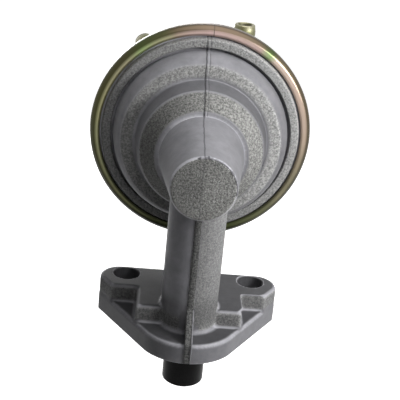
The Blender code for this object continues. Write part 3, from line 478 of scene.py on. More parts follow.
def land_outline():
    """Raised T on the plate: a bolt boss at each end and the web between them."""
    right = flange_end(0.15 * MM)
    last_x, last_y = right[-1]
    boss_x = last_x + (BOSS_FRONT + last_y) * math.tan(math.radians(nose_touch()))
    inner = rounded([
        (last_x, last_y), (boss_x, -BOSS_FRONT, 0.5 * MM),
        (LAND_HALF_WIDTH, -BOSS_FRONT, 1.0 * MM),
        (LAND_HALF_WIDTH, PLUNGER_Y - LAND_FRONT, 0.7 * MM), (0.0, PLUNGER_Y - LAND_FRONT),
    ])
    right += inner[1:-1]
    return right + [(-x, y) for x, y in reversed(right)]


def lower_casting():
    """Flange, plunger tube and neck, run together with a mould's soft corners."""
    end = -NECK_REACH
    root, root_end = NECK_ROOT_RADIUS - 0.05 * MM, NECK_ROOT + 2 * MM
    neck = rounded([
        (0.0, end), (NECK_END_RADIUS, end, NECK_END_EDGE), (root, NECK_ROOT), (root, root_end),
        (0.0, root_end),
    ])
    low, high = 1.0 * MM, AXIS_HEIGHT - 3 * MM      # both ends are buried in other metal
    foot = TUBE_RADIUS + TUBE_FOOT_FILLET
    tube = [(0.0, low), (foot, low)]
    tube += arc(foot, PLATE_THICKNESS + TUBE_FOOT_FILLET, TUBE_FOOT_FILLET, -90, -180, 6)
    tube += [(TUBE_RADIUS, high), (0.0, high)]
    cast = joined("lower_casting", [
        revolve("neck", neck, 192, TO_NECK_AXIS),
        revolve("tube", tube, 144, TO_PLUNGER_AXIS),
        extrude("plate", flange_outline(), -MACHINED, PLATE_THICKNESS, MOULD_EDGE),
        extrude("land", land_outline(), low, LAND_HEIGHT, MOULD_EDGE),
    ])
    return softened(cast, VOXEL, 4)


def seam_stations():
    """Rings of the rough line up the tube: its sway and its width vary with the height."""
    low = GUSSET_TOP * 0.8
    stations = []
    for step in range(81):
        height = low + (SEAM_TOP - low) * step / 80
        sway = 0.25 * MM * noise.noise(Vector((0, 0, height / (4 * MM))))
        wide = SEAM_WIDTH / 2 * (1 + 0.18 * noise.noise(Vector((3, 0, height / (1.6 * MM)))))
        stations.append((Vector((sway, TUBE_FRONT + 0.05 * MM, height)), Vector((0, 0, 1)), wide))
    return stations


def make_mould_line():
    """Rough line where the mould halves met, over the plate's nose and up the tube."""
    low, foot = 0.2 * MM, PLATE_THICKNESS
    inside = TUBE_FRONT + 0.4 * MM
    gusset = [
        (RIB_FRONT, low), (RIB_FRONT + 3 * MM, low), (inside, foot), (inside, GUSSET_TOP),
        (TUBE_FRONT - 0.2 * MM, GUSSET_TOP), (RIB_FRONT + 1.2 * MM, foot + 1.5 * MM),
        (RIB_FRONT, foot + 0.3 * MM),
    ]
    across = Matrix.Rotation(math.pi / 2, 4, "Z") @ Matrix.Rotation(math.pi / 2, 4, "X")
    knot = Vector((0.2 * MM, TUBE_FRONT - 0.1 * MM, SEAM_TOP - 1.4 * MM))
    line = joined("mould_line", [
        extrude("gusset", gusset, -GUSSET_WIDTH / 2, GUSSET_WIDTH / 2, 0.0, across),
        sweep("seam", seam_stations(), 24, flat=0.42),
        nub("seam_nub", knot, 1.0 * MM, Vector((0, 0, 1)), 1.0),
    ])
    return shade(roughen(softened(line, FINE_VOXEL, 3), 0.5 * MM, 0.14 * MM), 60)


def seam_path():
    """Points over the top of the dome in the mould's middle plane, from the ring to the neck."""
    low, high = CONE_FOOT_RADIUS - 0.3 * MM, RING_OUTER_RADIUS + 0.1 * MM
    over = [
        (along, radius) for radius, along in dome_profile()
        if low < radius < high and along < JOINT_FACE - 1 * MM
    ]
    over.sort(key=lambda point: -point[1])
    over += [(NECK_ROOT - 1 * MM, neck_radius(NECK_ROOT - 1 * MM))]
    points = []
    for along, radius in spaced(over, 0.6 * MM):
        sway = 0.35 * MM * noise.noise(Vector((0, along / (5 * MM), radius / (5 * MM))))
        points.append(Vector((sway, PLUNGER_Y + along, AXIS_HEIGHT + radius)))
    return points


def rib_edge():
    """Points down the right front edge of the rib over the plate's nose."""
    foot = PLATE_THICKNESS
    corners = [
        (TUBE_FRONT - 0.3 * MM, GUSSET_TOP - 0.4 * MM), (RIB_FRONT + 1.2 * MM, foot + 1.5 * MM),
        (RIB_FRONT - 0.05 * MM, foot + 0.3 * MM), (RIB_FRONT - 0.05 * MM, 1.0 * MM),
    ]
    side = GUSSET_WIDTH / 2 - 0.05 * MM
    return [Vector((side, y, z)) for y, z in spaced(corners, 0.5 * MM)]


def make_flash():
    """Flash that the mould left: along its middle plane, round the disc, and a few specks."""
    disc = PLUNGER_Y - NECK_REACH
    circle = arc(0.0, AXIS_HEIGHT, NECK_END_RADIUS - 0.28 * MM, -8, 106, 90)
    edge = [Vector((x, disc + 0.25 * MM, z)) for x, z in circle]
    front = Vector((0, -1, 0))
    top = Vector((0.8 * MM, disc + 0.2 * MM, AXIS_HEIGHT + NECK_END_RADIUS - 0.1 * MM))
    made = [
        lumpy_line("ridge", seam_path(), SEAM_HALF_WIDTH, 0.2, 12, flat=0.33),
        lumpy_line("rib_edge", rib_edge(), 0.26 * MM, 0.7),
        lumpy_line("disc_edge", edge, 0.36 * MM, 0.8),
        nub("disc_nub", top, 0.65 * MM, front),
    ]
    for x, along, above, size in BLEMISHES:
        place = Vector((x * MM, PLUNGER_Y + along * MM, AXIS_HEIGHT + above * MM))
        made.append(nub("speck", place, size * MM, front))
    return shade(joined("mould_flash", made), 50)


def dome_profile():
    """Section of the dome, from inside the neck out to the crimped edge and back to the axis."""
    corners = [
        (0.0, 9.0 * MM), (12.6 * MM, 9.0 * MM), (13.4 * MM, 10.5 * MM),
        (CONE_FOOT_RADIUS, NECK_ROOT, 0.5 * MM), (CONE_EDGE_RADIUS, CONE_END, 1.2 * MM),
        (BAND_INNER_RADIUS, BAND_START, 0.5 * MM), (BAND_OUTER_RADIUS, BAND_START),
    ]
    end, edge = BAND_START + SHOULDER_DEPTH, BAND_OUTER_RADIUS + SHOULDER_WIDTH
    shoulder = arc(BAND_OUTER_RADIUS, end, SHOULDER_WIDTH, -90, -2, 14, SHOULDER_DEPTH)
    return rounded(corners) + shoulder + rounded([
        (edge, end), (edge + 0.1 * MM, RING_FACE + GROOVE_DEPTH + 0.4 * MM, 0.3 * MM),
        (31.3 * MM, RING_FACE + GROOVE_DEPTH, 0.3 * MM),
        (RING_INNER_RADIUS, RING_FACE, 0.45 * MM), (RING_OUTER_RADIUS, RING_FACE, 0.45 * MM),
        (34.7 * MM, CRIMP_SEAT), (CRIMP_EDGE_RADIUS, CRIMP_SEAT), (CRIMP_EDGE_RADIUS, JOINT_FACE),
        (0.0, JOINT_FACE),
    ])


def cavity_profile():
    """Inside of the neck and dome."""
    past = JOINT_FACE + PAST
    end = -NECK_REACH + NECK_END_WALL
    return rounded([
        (0.0, end), (NECK_BORE_END_RADIUS, end, 1.5 * MM), (NECK_BORE_ROOT_RADIUS, SEAL_LEDGE),
        (SEAL_SEAT_RADIUS, SEAL_LEDGE), (SEAL_SEAT_RADIUS, CONE_END),
        (18.6 * MM, 19.1 * MM, 1.0 * MM), (19.8 * MM, CHAMBER_START, 1.0 * MM),
        (24.2 * MM, CHAMBER_START, 2.0 * MM), (28.8 * MM, 35.1 * MM, 2.5 * MM),
        (CHAMBER_RADIUS, JOINT_FACE), (CHAMBER_RADIUS, past), (0.0, past),
    ])


def drill(name, radius, reach, steps, place):
    """A round cutter that reaches equally far to both sides of a place."""
    section = [(0.0, -reach), (radius, -reach), (radius, reach), (0.0, reach)]
    return revolve(name, section, steps, place)


def bolt_holes():
    """Cutters for the two bolt holes, each with a small chamfer at its top."""
    hole, wide = BOLT_HOLE_RADIUS, BOLT_HOLE_RADIUS + 0.5 * MM
    section = [
        (0.0, -PAST), (hole, -PAST), (hole, LAND_HEIGHT - 0.4 * MM), (wide, LAND_HEIGHT + 0.1 * MM),
        (wide, LAND_HEIGHT + PAST), (0.0, LAND_HEIGHT + PAST),
    ]
    places = [Matrix.Translation((side * BOLT_SPACING / 2, 0, 0)) for side in (-1, 1)]
    return [revolve("bolt_hole", section, 64, place) for place in places]


def drilled():
    """Bores and holes that are cut into the casting."""
    seat = GUIDE_RADIUS + GAP
    mouth = seat + 0.5 * MM
    top = GUIDE_TOP + GAP
    bores = [
        (0.0, -PAST), (mouth, -PAST), (mouth, 0.0), (seat, 0.5 * MM), (seat, top),
        (SPRING_BORE_RADIUS, top), (SPRING_BORE_RADIUS, SPRING_BORE_TOP),
        (SHANK_HOLE_RADIUS, SPRING_BORE_TOP), (SHANK_HOLE_RADIUS, AXIS_HEIGHT), (0.0, AXIS_HEIGHT),
    ]
    side, front, back = 50 * MM, -50 * MM, 30 * MM
    below = [(-side, front), (side, front), (side, back), (-side, back)]
    pin_low, pin_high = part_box("crank_pin")
    pin = Matrix.Translation((pin_low + pin_high) / 2)
    vent = Matrix.Translation((0, PLUNGER_Y + BAND_START, AXIS_HEIGHT - VENT_BELOW))
    return [
        revolve("cavity", cavity_profile(), 96, TO_NECK_AXIS),
        revolve("bores", bores, 96, TO_PLUNGER_AXIS),
        *bolt_holes(),
        extrude("facing", below, -10 * MM, 0.0),
        drill("pin_hole", PIN_HOLE_RADIUS, 20 * MM, 32, pin @ TURN_TO_X),
        drill("vent", VENT_RADIUS, 4 * MM, 24, vent @ TURN_TO_Y),
    ]


def make_casting():
    """The die-cast body, in one mesh."""
    body = revolve("cast_body", spaced(dome_profile(), 0.8 * MM), ROUND, TO_NECK_AXIS)
    combine(body, [lower_casting()], "UNION")
    combine(body, drilled(), "DIFFERENCE")
    return shade(body)


# Cover

def cup_height(radius):
    """Outer face of the cover's sloping back at a radius from the neck axis."""
    edge = CUP_RADIUS - 0.6 * MM - CUP_CORNER
    crown = CUP_SIDE_END + CUP_CORNER + (edge - CROWN_RADIUS) * math.tan(CUP_SLOPE)
    return crown - max(radius - CROWN_RADIUS, 0.0) * math.tan(CUP_SLOPE)


def cover_profile():
    """Section of the cover's sheet: crown, back, side, flange and the lip over the casting."""
    back = COVER_FACE + SHEET
    rear = RIM_RADIUS - RIM_TAPER
    side_top = CUP_RADIUS - 0.6 * MM
    edge, crown = cup_height(side_top), cup_height(0.0)
    lip_face = CRIMP_SEAT - GAP - SHEET
    drop = SHEET / math.cos(CUP_SLOPE)
    return rounded([
        (0.0, crown), (CROWN_RADIUS, crown, 3 * MM),
        (side_top + 0.1 * MM, edge + 0.2 * MM, CUP_CORNER + 1 * MM), (CUP_RADIUS, back, 1.3 * MM),
        (rear, back, 2.0 * MM), (RIM_RADIUS, lip_face + 1.7 * MM, 3.4 * MM),
        (RIM_RADIUS - 1.5 * MM, lip_face + 0.1 * MM, 2.4 * MM),
        (LIP_RADIUS + 0.7 * MM, lip_face, 0.8 * MM), (LIP_RADIUS, lip_face + 0.35 * MM, 0.3 * MM),
        (LIP_RADIUS, CRIMP_SEAT - GAP),
        (RIM_RADIUS - SHEET, CRIMP_SEAT - GAP), (rear - SHEET, COVER_FACE),
        (CUP_RADIUS - SHEET, COVER_FACE, 0.5 * MM),
        (side_top - SHEET, edge - drop, CUP_CORNER), (CROWN_RADIUS, crown - drop),
        (0.0, crown - drop),
    ], steps=8)


def make_cover():
    """Stamped cover with its rolled rim, cut for the two pipes."""
    cover = revolve("zinc_cover", cover_profile(), ROUND, TO_NECK_AXIS)
    holes = []
    for route in pipe_routes():
        place, way = route[0]
        reach = way * 3 * PIPE_INSIDE
        ends = [(end, way, PIPE_RADIUS + GAP / 2) for end in (place - reach, place + reach)]
        holes.append(sweep("pipe_hole", ends, 48))
    return shade(combine(cover, holes, "DIFFERENCE"))


# Pipes

def pipe_routes():
    """Centre line of each pipe as (place, direction), from inside the cover to the open end."""
    across = Vector((-math.sin(INLET_TURN), 0.0, math.cos(INLET_TURN)))
    back = Vector((0.0, PLUNGER_Y + cup_height(INLET_ROOT_RADIUS), AXIS_HEIGHT))
    root = back + across * INLET_ROOT_RADIUS
    way = across * math.sin(CUP_SLOPE) + Vector((0, 1, 0)) * math.cos(CUP_SLOPE)
    inlet = [(root - way * PIPE_INSIDE, way), (root + way * INLET_LENGTH, way)]
    radius = math.hypot(OUTLET_SIDE, OUTLET_ROOT_HEIGHT)
    root = Vector((OUTLET_SIDE, PLUNGER_Y + cup_height(radius), AXIS_HEIGHT + OUTLET_ROOT_HEIGHT))
    way = Vector((0.0, math.cos(CUP_SLOPE), math.sin(CUP_SLOPE)))
    normal = Vector((0.0, -way.z, way.y))
    centre = root + way * OUTLET_STRAIGHT + normal * OUTLET_BEND_RADIUS
    outlet = [(root - way * PIPE_INSIDE, way)]
    for step in range(17):
        turn = (math.pi / 2 - CUP_SLOPE) * step / 16
        spoke = way * math.sin(turn) - normal * math.cos(turn)
        ahead = way * math.cos(turn) + normal * math.sin(turn)
        outlet.append((centre + spoke * OUTLET_BEND_RADIUS, ahead))
    top = outlet[-1][0].copy()
    top.z = AXIS_HEIGHT + OUTLET_TOP
    outlet.append((top, Vector((0, 0, 1))))
    return inlet, outlet


def make_pipe(name, route):
    """A pipe with a hose bead, a rounded end and a brazed collar where it leaves the cover."""
    inner = PIPE_RADIUS - PIPE_WALL
    bead = PIPE_RADIUS + PIPE_BEAD
    end, way = route[-1]
    stations = [(place, turn, PIPE_RADIUS) for place, turn in route[:-1]]
    for share, radius in (
        (2.0, PIPE_RADIUS), (1.75, PIPE_RADIUS + PIPE_BEAD * 0.6), (1.5, bead), (1.0, bead),
        (0.7, PIPE_RADIUS + PIPE_BEAD * 0.6), (0.4, PIPE_RADIUS), (0.12, PIPE_RADIUS),
        (0.04, PIPE_RADIUS - 0.15 * MM), (0.0, PIPE_RADIUS - 0.35 * MM), (0.0, inner + 0.2 * MM),
        (0.1, inner),
    ):
        stations.append((end - way * PIPE_BEAD_LENGTH * share, way, radius))
    stations += [(place, turn, inner) for place, turn in reversed(route[:-1])]
    place, way = route[0]
    root = place + way * PIPE_INSIDE
    collar = [(root + way * reach * MM, way, PIPE_RADIUS + proud * MM) for reach, proud in (
        (-0.9, 1.5), (0.1, 1.35), (0.5, 0.95), (0.9, 0.45), (1.3, 0.12), (1.5, -0.05),
        (1.5, -0.15), (-0.9, -0.15),
    )]
    ring = roughen(sweep(name + "_collar", collar, 48, closed=True), 1.6 * MM, 0.12 * MM)
    return shade(joined(name, [sweep(name + "_tube", stations, 48, closed=True), ring]))


# Plunger, guide and pin

def make_plunger():
    """Turned plunger with rounded tip, spring collar and shank."""
    tip, top = PLUNGER_LOW.z, PLUNGER_HIGH.z
    collar = GUIDE_TOP + GAP
    profile = rounded([
        (0.0, tip), (PLUNGER_RADIUS - 0.9 * MM, tip + 0.05 * MM, 0.4 * MM),
        (PLUNGER_RADIUS, tip + 0.75 * MM, 0.5 * MM),
        (PLUNGER_RADIUS, collar), (COLLAR_RADIUS, collar, 0.2 * MM),
        (COLLAR_RADIUS, collar + COLLAR_HEIGHT, 0.3 * MM), (SHANK_RADIUS, collar + COLLAR_HEIGHT),
        (SHANK_RADIUS, top - SHANK_EDGE, 0.3 * MM), (SHANK_RADIUS - SHANK_EDGE, top, 0.3 * MM),
        (0.0, top),
    ])
    return shade(revolve("black_plunger", profile, 128, TO_PLUNGER_AXIS))


def make_guide():
    """Bronze guide bush with chamfered ends."""
    low, high = BUSH_LOW.z, BUSH_HIGH.z
    edge = 0.4 * MM
    profile = [
        (GUIDE_BORE, low + edge), (GUIDE_BORE + edge, low), (GUIDE_RADIUS - edge, low),
        (GUIDE_RADIUS, low + edge), (GUIDE_RADIUS, high - edge), (GUIDE_RADIUS - edge, high),
        (GUIDE_BORE, high),
    ]
    return shade(revolve("bronze_guide", profile, 128, TO_PLUNGER_AXIS, closed=True), 20)


def make_pin():
    """Crank pin with domed ends."""
    low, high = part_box("crank_pin")
    half = (high.x - low.x) / 2
    profile = [(0.0, -half), (0.9 * MM, 0.1 * MM - half), (PIN_RADIUS, 0.5 * MM - half)]
    profile += [(radius, -height) for radius, height in reversed(profile)]
    place = Matrix.Translation((low + high) / 2) @ TURN_TO_X
    return shade(revolve("steel_pin", profile, 48, place), 40)


# Springs

def make_springs(finish):
    """The springs, as copies of the CAD's rigid ones, each fixed to the housing."""
    for joint in frame["record"]["behaviour"]["joints"]:
        for soft in joint.get("deforming_nodes", []):
            way = soft["mode"][-1]
            if soft["mode"] != "scale_" + way:
                continue
            axis = "xyz".index(way)
            low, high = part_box(soft["node"])
            anchor = (low + high) / 2
            anchor[axis] = soft[f"fixed_end_{way}_m"]
            item = placed("coiled_" + soft["node"], frame["nodes"][soft["node"]].data.copy())
            dress(shade(item, 50), finish, "housing", soft["node"])
            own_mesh(item)


# Finishes

class Finish:
    """Adds and links the shader nodes of one material."""

    def __init__(self, name):
        self.material = bpy.data.materials.new(name)
        self.material.use_nodes = True
        self.tree = self.material.node_tree
        self.shader = self.tree.nodes["Principled BSDF"]
        self.place = self.add("ShaderNodeTexCoord").outputs["Object"]

    def add(self, kind, **settings):
        """A node with constants on its sockets or settings of its own."""
        node = self.tree.nodes.new(kind)
        for key, value in settings.items():
            if key in node.inputs:
                node.inputs[key].default_value = value
            else:
                setattr(node, key, value)
        return node

    def feed(self, socket, value):
        """Give a socket another node's output, a number or a colour."""
        if isinstance(value, bpy.types.NodeSocket):
            self.tree.links.new(value, socket)
        else:
            socket.default_value = (*value, 1.0) if isinstance(value, tuple) else value

    def noise(self, size, detail=3.0, roughness=0.5):
        """Noise whose features are about the given size in metres."""
        node = self.add("ShaderNodeTexNoise", Scale=1 / size, Detail=detail, Roughness=roughness)
        self.feed(node.inputs["Vector"], self.place)
        return node.outputs["Fac"]

    def ramp(self, source, stops):
        """Colours at positions of the source from 0 to 1."""
        node = self.add("ShaderNodeValToRGB")
        element = node.color_ramp.elements
        while len(element) < len(stops):
            element.new(0.5)
        for item, (position, colour) in zip(element, stops):
            item.position = position
            item.color = (*colour, 1.0)
        self.feed(node.inputs["Fac"], source)
        return node.outputs["Color"]

    def mix(self, share, first, second, kind="MIX"):
        node = self.add("ShaderNodeMix", data_type="RGBA", blend_type=kind)
        for index, value in ((0, share), (6, first), (7, second)):
            self.feed(node.inputs[index], value)
        return node.outputs[2]

    def maths(self, operation, first, second):
        node = self.add("ShaderNodeMath", operation=operation)
        self.feed(node.inputs[0], first)
        self.feed(node.inputs[1], second)
        return node.outputs[0]

    def times(self, first, second):
        return self.maths("MULTIPLY", first, second)

    def vector(self, operation, source, second=(0.0, 0.0, 0.0)):
        """The source vector worked on with a constant one; a length or distance is a number."""
        node = self.add("ShaderNodeVectorMath", operation=operation)
        node.inputs[1].default_value = second
        self.feed(node.inputs[0], source)
        return node.outputs["Value" if operation in ("LENGTH", "DISTANCE") else "Vector"]

    def parts(self, source):
        """X, Y and Z of a vector."""
        node = self.add("ShaderNodeSeparateXYZ")
        self.feed(node.inputs[0], source)
        return node.outputs[:3]

    def bump(self, height, distance, strength, normal=None):
        node = self.add("ShaderNodeBump", Strength=strength, Distance=distance)
        self.feed(node.inputs["Height"], height)
        if normal:
            self.feed(node.inputs["Normal"], normal)
        return node.outputs["Normal"]

    def mapped(self, source, **limits):
        """The source brought from one range to another; a range that isn't given is 0 to 1."""
        node = self.add("ShaderNodeMapRange")
        for key, value in limits.items():
            node.inputs[key.replace("_", " ")].default_value = value
        self.feed(node.inputs["Value"], source)
        return node.outputs["Result"]

    def set(self, **values):
        """Feed the sockets of the material's own shader."""
        for key, value in values.items():
            self.feed(self.shader.inputs[key.replace("_", " ")], value)


def seam_shadow_share(made):
    """Share of painted shadow along both edges of the mould line over its top, stronger on its left
    side.
    """
    x, y, z = made.parts(made.place)
    wobble = made.times(made.maths("SUBTRACT", made.noise(3 * MM), 0.5), 0.7 * MM)
    across = made.maths("ADD", x, wobble)
    edge = made.maths("SUBTRACT", made.maths("ABSOLUTE", across, 0.0), SEAM_HALF_WIDTH + 0.05 * MM)
    near = made.mapped(made.maths("ABSOLUTE", edge, 0.0), From_Min=0.32 * MM, From_Max=0.08 * MM)
    left = made.maths("LESS_THAN", across, 0.0)
    dome = made.maths("GREATER_THAN", z, AXIS_HEIGHT + NECK_ROOT_RADIUS)
    above = made.maths("GREATER_THAN", z, AXIS_HEIGHT + NECK_END_RADIUS)
    disc = made.maths("LESS_THAN", y, PLUNGER_Y - NECK_REACH + 0.6 * MM)
    upper = made.times(above, made.times(left, 0.8))
    fainter = made.maths("SUBTRACT", 0.55, made.times(left, 0.55))
    right = made.times(dome, fainter)
    lower = made.times(disc, made.times(left, 0.35))
    where = made.maths("ADD", made.maths("ADD", upper, right), lower)
    return made.times(near, where)


def cast_finish():
    """Grey die-cast alloy: smooth where the mould slid, sandy where it was blasted, with painted light
    and shade multiplied in and a painted shadow along the mould line.
    """
    made = Finish("cast_alloy")
    sand, painted_light = (
        made.add("ShaderNodeAttribute", attribute_name=name).outputs["Fac"] for name in ("sand", "painted_light")
    )
    cloud = made.noise(7 * MM, 4.0, 0.65)
    blotch = made.noise(2.2 * MM, 3.0, 0.6)
    grain = made.noise(0.62 * MM, 3.0, 0.75)
    fine = made.noise(0.25 * MM, 2.0, 0.6)
    smooth = [(0.3, SMOOTH_DARK), (0.7, SMOOTH_LIGHT)]
    smooth_colour = made.mix(0.35, made.ramp(cloud, smooth), made.ramp(blotch, smooth))
    sand_colour = made.ramp(grain, [(0.34, SAND_DARK), (0.5, SAND_MIDDLE), (0.66, SAND_LIGHT)])
    colour = made.mix(sand, smooth_colour, sand_colour)
    # Painted light and shade, stored on the vertices, multiplied into the colour.
    colour = made.mix(1.0, colour, painted_light, "MULTIPLY")
    # Painted shadow along both edges of the mould line, darker on its left side.
    colour = made.mix(seam_shadow_share(made), colour, SEAM_SHADOW_COLOUR)
    rough = made.mapped(fine, To_Min=0.40, To_Max=0.52)
    rough = made.maths("ADD", rough, made.times(sand, 0.2))
    made.set(Base_Color=colour, Roughness=rough, Specular_IOR_Level=0.17)
    soft = made.bump(fine, 0.02 * MM, 0.5)
    made.set(Normal=made.bump(made.times(grain, sand), 0.28 * MM, 0.9, soft))
    return made.material


def mould_line_finish():
    """The casting's alloy where the mould line was left rough and dark."""
    made = Finish("cast_alloy_line")
    grain = made.noise(0.6 * MM, 3.0, 0.7)
    made.set(
        Base_Color=made.ramp(grain, [(0.35, (0.028, 0.028, 0.03)), (0.65, (0.13, 0.13, 0.125))]),
        Roughness=0.6, Specular_IOR_Level=0.14, Normal=made.bump(grain, 0.2 * MM, 0.8),
    )
    return made.material


def zinc_finish():
    """Yellow zinc plating: its tints change round the rim, with painted shade below and a painted
    highlight at the upper right, and its outer band is browner and darkened by painted shade, more so
    on the left.
    """
    made = Finish("yellow_zinc")
    speck = made.noise(0.6 * MM, 3.0)
    from_axis = made.vector("SUBTRACT", made.place, (0.0, 0.0, AXIS_HEIGHT))
    radius = made.vector("LENGTH", made.vector("MULTIPLY", from_axis, (1.0, 0.0, 1.0)))
    x, y, z = made.parts(from_axis)
    turn = made.maths("ARCTAN2", z, x)
    stray = made.times(made.maths("SUBTRACT", made.noise(9 * MM, 2.0), 0.5), 0.5)
    share = made.maths("ADD", made.times(made.maths("ADD", turn, stray), 0.5 / math.pi), 0.5)
    # Tints round the rim, with painted shade below and a painted highlight at the upper right.
    face = made.ramp(share, [(0.5 + angle / 360, colour) for angle, colour in RIM_TINTS_AND_LIGHT])
    plain = made.ramp(made.noise(14 * MM, 3.0, 0.6), [
        (0.30, (0.235, 0.225, 0.13)), (0.50, (0.27, 0.25, 0.15)), (0.70, (0.27, 0.23, 0.16)),
    ])
    front = made.maths("LESS_THAN", y, PLUNGER_Y + COVER_FACE)
    rim = made.times(made.maths("GREATER_THAN", radius, CUP_RADIUS - 0.5 * MM), front)
    face = made.mix(rim, plain, face)
    # Painted shade over the brown of the rim's outer band, reaching further in on the left side.
    reach = made.maths("ADD", radius, made.times(x, -0.3 * MM / RIM_RADIUS))
    low, high = RIM_RADIUS - 2.3 * MM, RIM_RADIUS - 1.4 * MM
    brown_and_shade = made.times(made.mapped(reach, From_Min=low, From_Max=high), rim)
    colour = made.mix(brown_and_shade, face, made.mix(1.0, face, RIM_OUTSIDE_BROWN_SHADE, "MULTIPLY"))
    off = made.maths("ABSOLUTE", made.maths("SUBTRACT", x, RIM_MARK), 0.0)
    mark = made.times(made.maths("LESS_THAN", off, 0.16 * MM), front)
    mark = made.times(mark, made.maths("GREATER_THAN", z, 0.0))
    colour = made.mix(made.times(mark, 0.7), colour, (0.03, 0.025, 0.02))
    made.set(
        Base_Color=colour, Metallic=0.9, Roughness=made.mapped(speck, To_Min=0.30, To_Max=0.42),
        Normal=made.bump(speck, 0.01 * MM, 0.4),
    )
    return made.material


def pipe_finish():
    """Olive plating of the fuel pipes, with a little variation of colour and roughness."""
    made = Finish("zinc_pipe")
    speck = made.noise(1.1 * MM, 3.0, 0.6)
    colour = made.ramp(made.noise(5 * MM, 2.0), [
        (0.35, (0.15, 0.15, 0.08)), (0.5, (0.25, 0.24, 0.15)), (0.65, (0.30, 0.28, 0.20)),
    ])
    made.set(
        Base_Color=colour, Metallic=0.85, Roughness=made.mapped(speck, To_Min=0.34, To_Max=0.50),
        Normal=made.bump(speck, 0.02 * MM, 0.4),
    )
    return made.material


def plain_finish(name, dark, light, metallic, rough, size, specular=0.5):
    """A finish with a little variation of colour and roughness."""
    made = Finish(name)
    grain = made.noise(size, 3.0, 0.6)
    made.set(
        Base_Color=made.ramp(grain, [(0.3, dark), (0.7, light)]),
        Metallic=metallic, Roughness=made.mapped(grain, To_Min=rough[0], To_Max=rough[1]),
        Specular_IOR_Level=specular, Normal=made.bump(grain, 0.02 * MM, 0.4),
    )
    return made.material


def slot_finishes():
    """A finish for each material slot of the record."""
    return {
        "casting": cast_finish(),
        "zinc_steel": zinc_finish(),
        "dark_steel": plain_finish(
            "black_oxide", (0.002,) * 3, (0.005,) * 3, 0.0, (0.3, 0.42), 2 * MM, 0.05),
        "plain_steel": plain_finish(
            "plain_steel", (0.40, 0.40, 0.41), (0.52, 0.52, 0.52), 0.95, (0.25, 0.4), 1.5 * MM),
        "bronze": plain_finish(
            "bronze", (0.36, 0.25, 0.11), (0.48, 0.35, 0.17), 0.95, (0.3, 0.45), 1.5 * MM),
        "rubber": plain_finish("rubber", (0.02,) * 3, (0.04,) * 3, 0.0, (0.6, 0.8), 1.2 * MM),
    }


# Zones of the casting

def within(value, low, high, soft=0.2 * MM):
    """1 between low and high, with a soft start and end inside them, and 0 outside."""
    return np.clip((value - low) / soft, 0, 1) * np.clip((high - value) / soft, 0, 1)


def vectors(vertices, key):
    """One vector of each vertex, as the rows of an array."""
    values = np.empty(len(vertices) * 3)
    vertices.foreach_get(key, values)
    return values.reshape(-1, 3)


def sharp_bends(mesh, co, normal):
    """1 at each vertex where the surface bends sharply, and 0 where it is flat; sharp bends get a
    painted highlight.
    """
    ends = np.empty(len(mesh.edges) * 2, dtype=np.int32)
    mesh.edges.foreach_get("vertices", ends)
    first, second = ends.reshape(-1, 2).T
    count = len(co)

    def gathered(at_first, at_second):
        """Sum over the edges at each vertex, or their number where no values are given."""
        return np.bincount(first, at_first, count) + np.bincount(second, at_second, count)

    step = co[second] - co[first]
    long = np.maximum((step * step).sum(1), 1e-12)
    bend = gathered((step * normal[first]).sum(1), -(step * normal[second]).sum(1))
    bend = np.abs(bend) / np.maximum(gathered(long, long), 1e-12) * MM
    spread = gathered(bend[second], bend[first])
    bend = (bend + spread / np.maximum(gathered(None, None), 1)) / 2
    return np.clip((bend - 0.06) / 0.16, 0, 1)


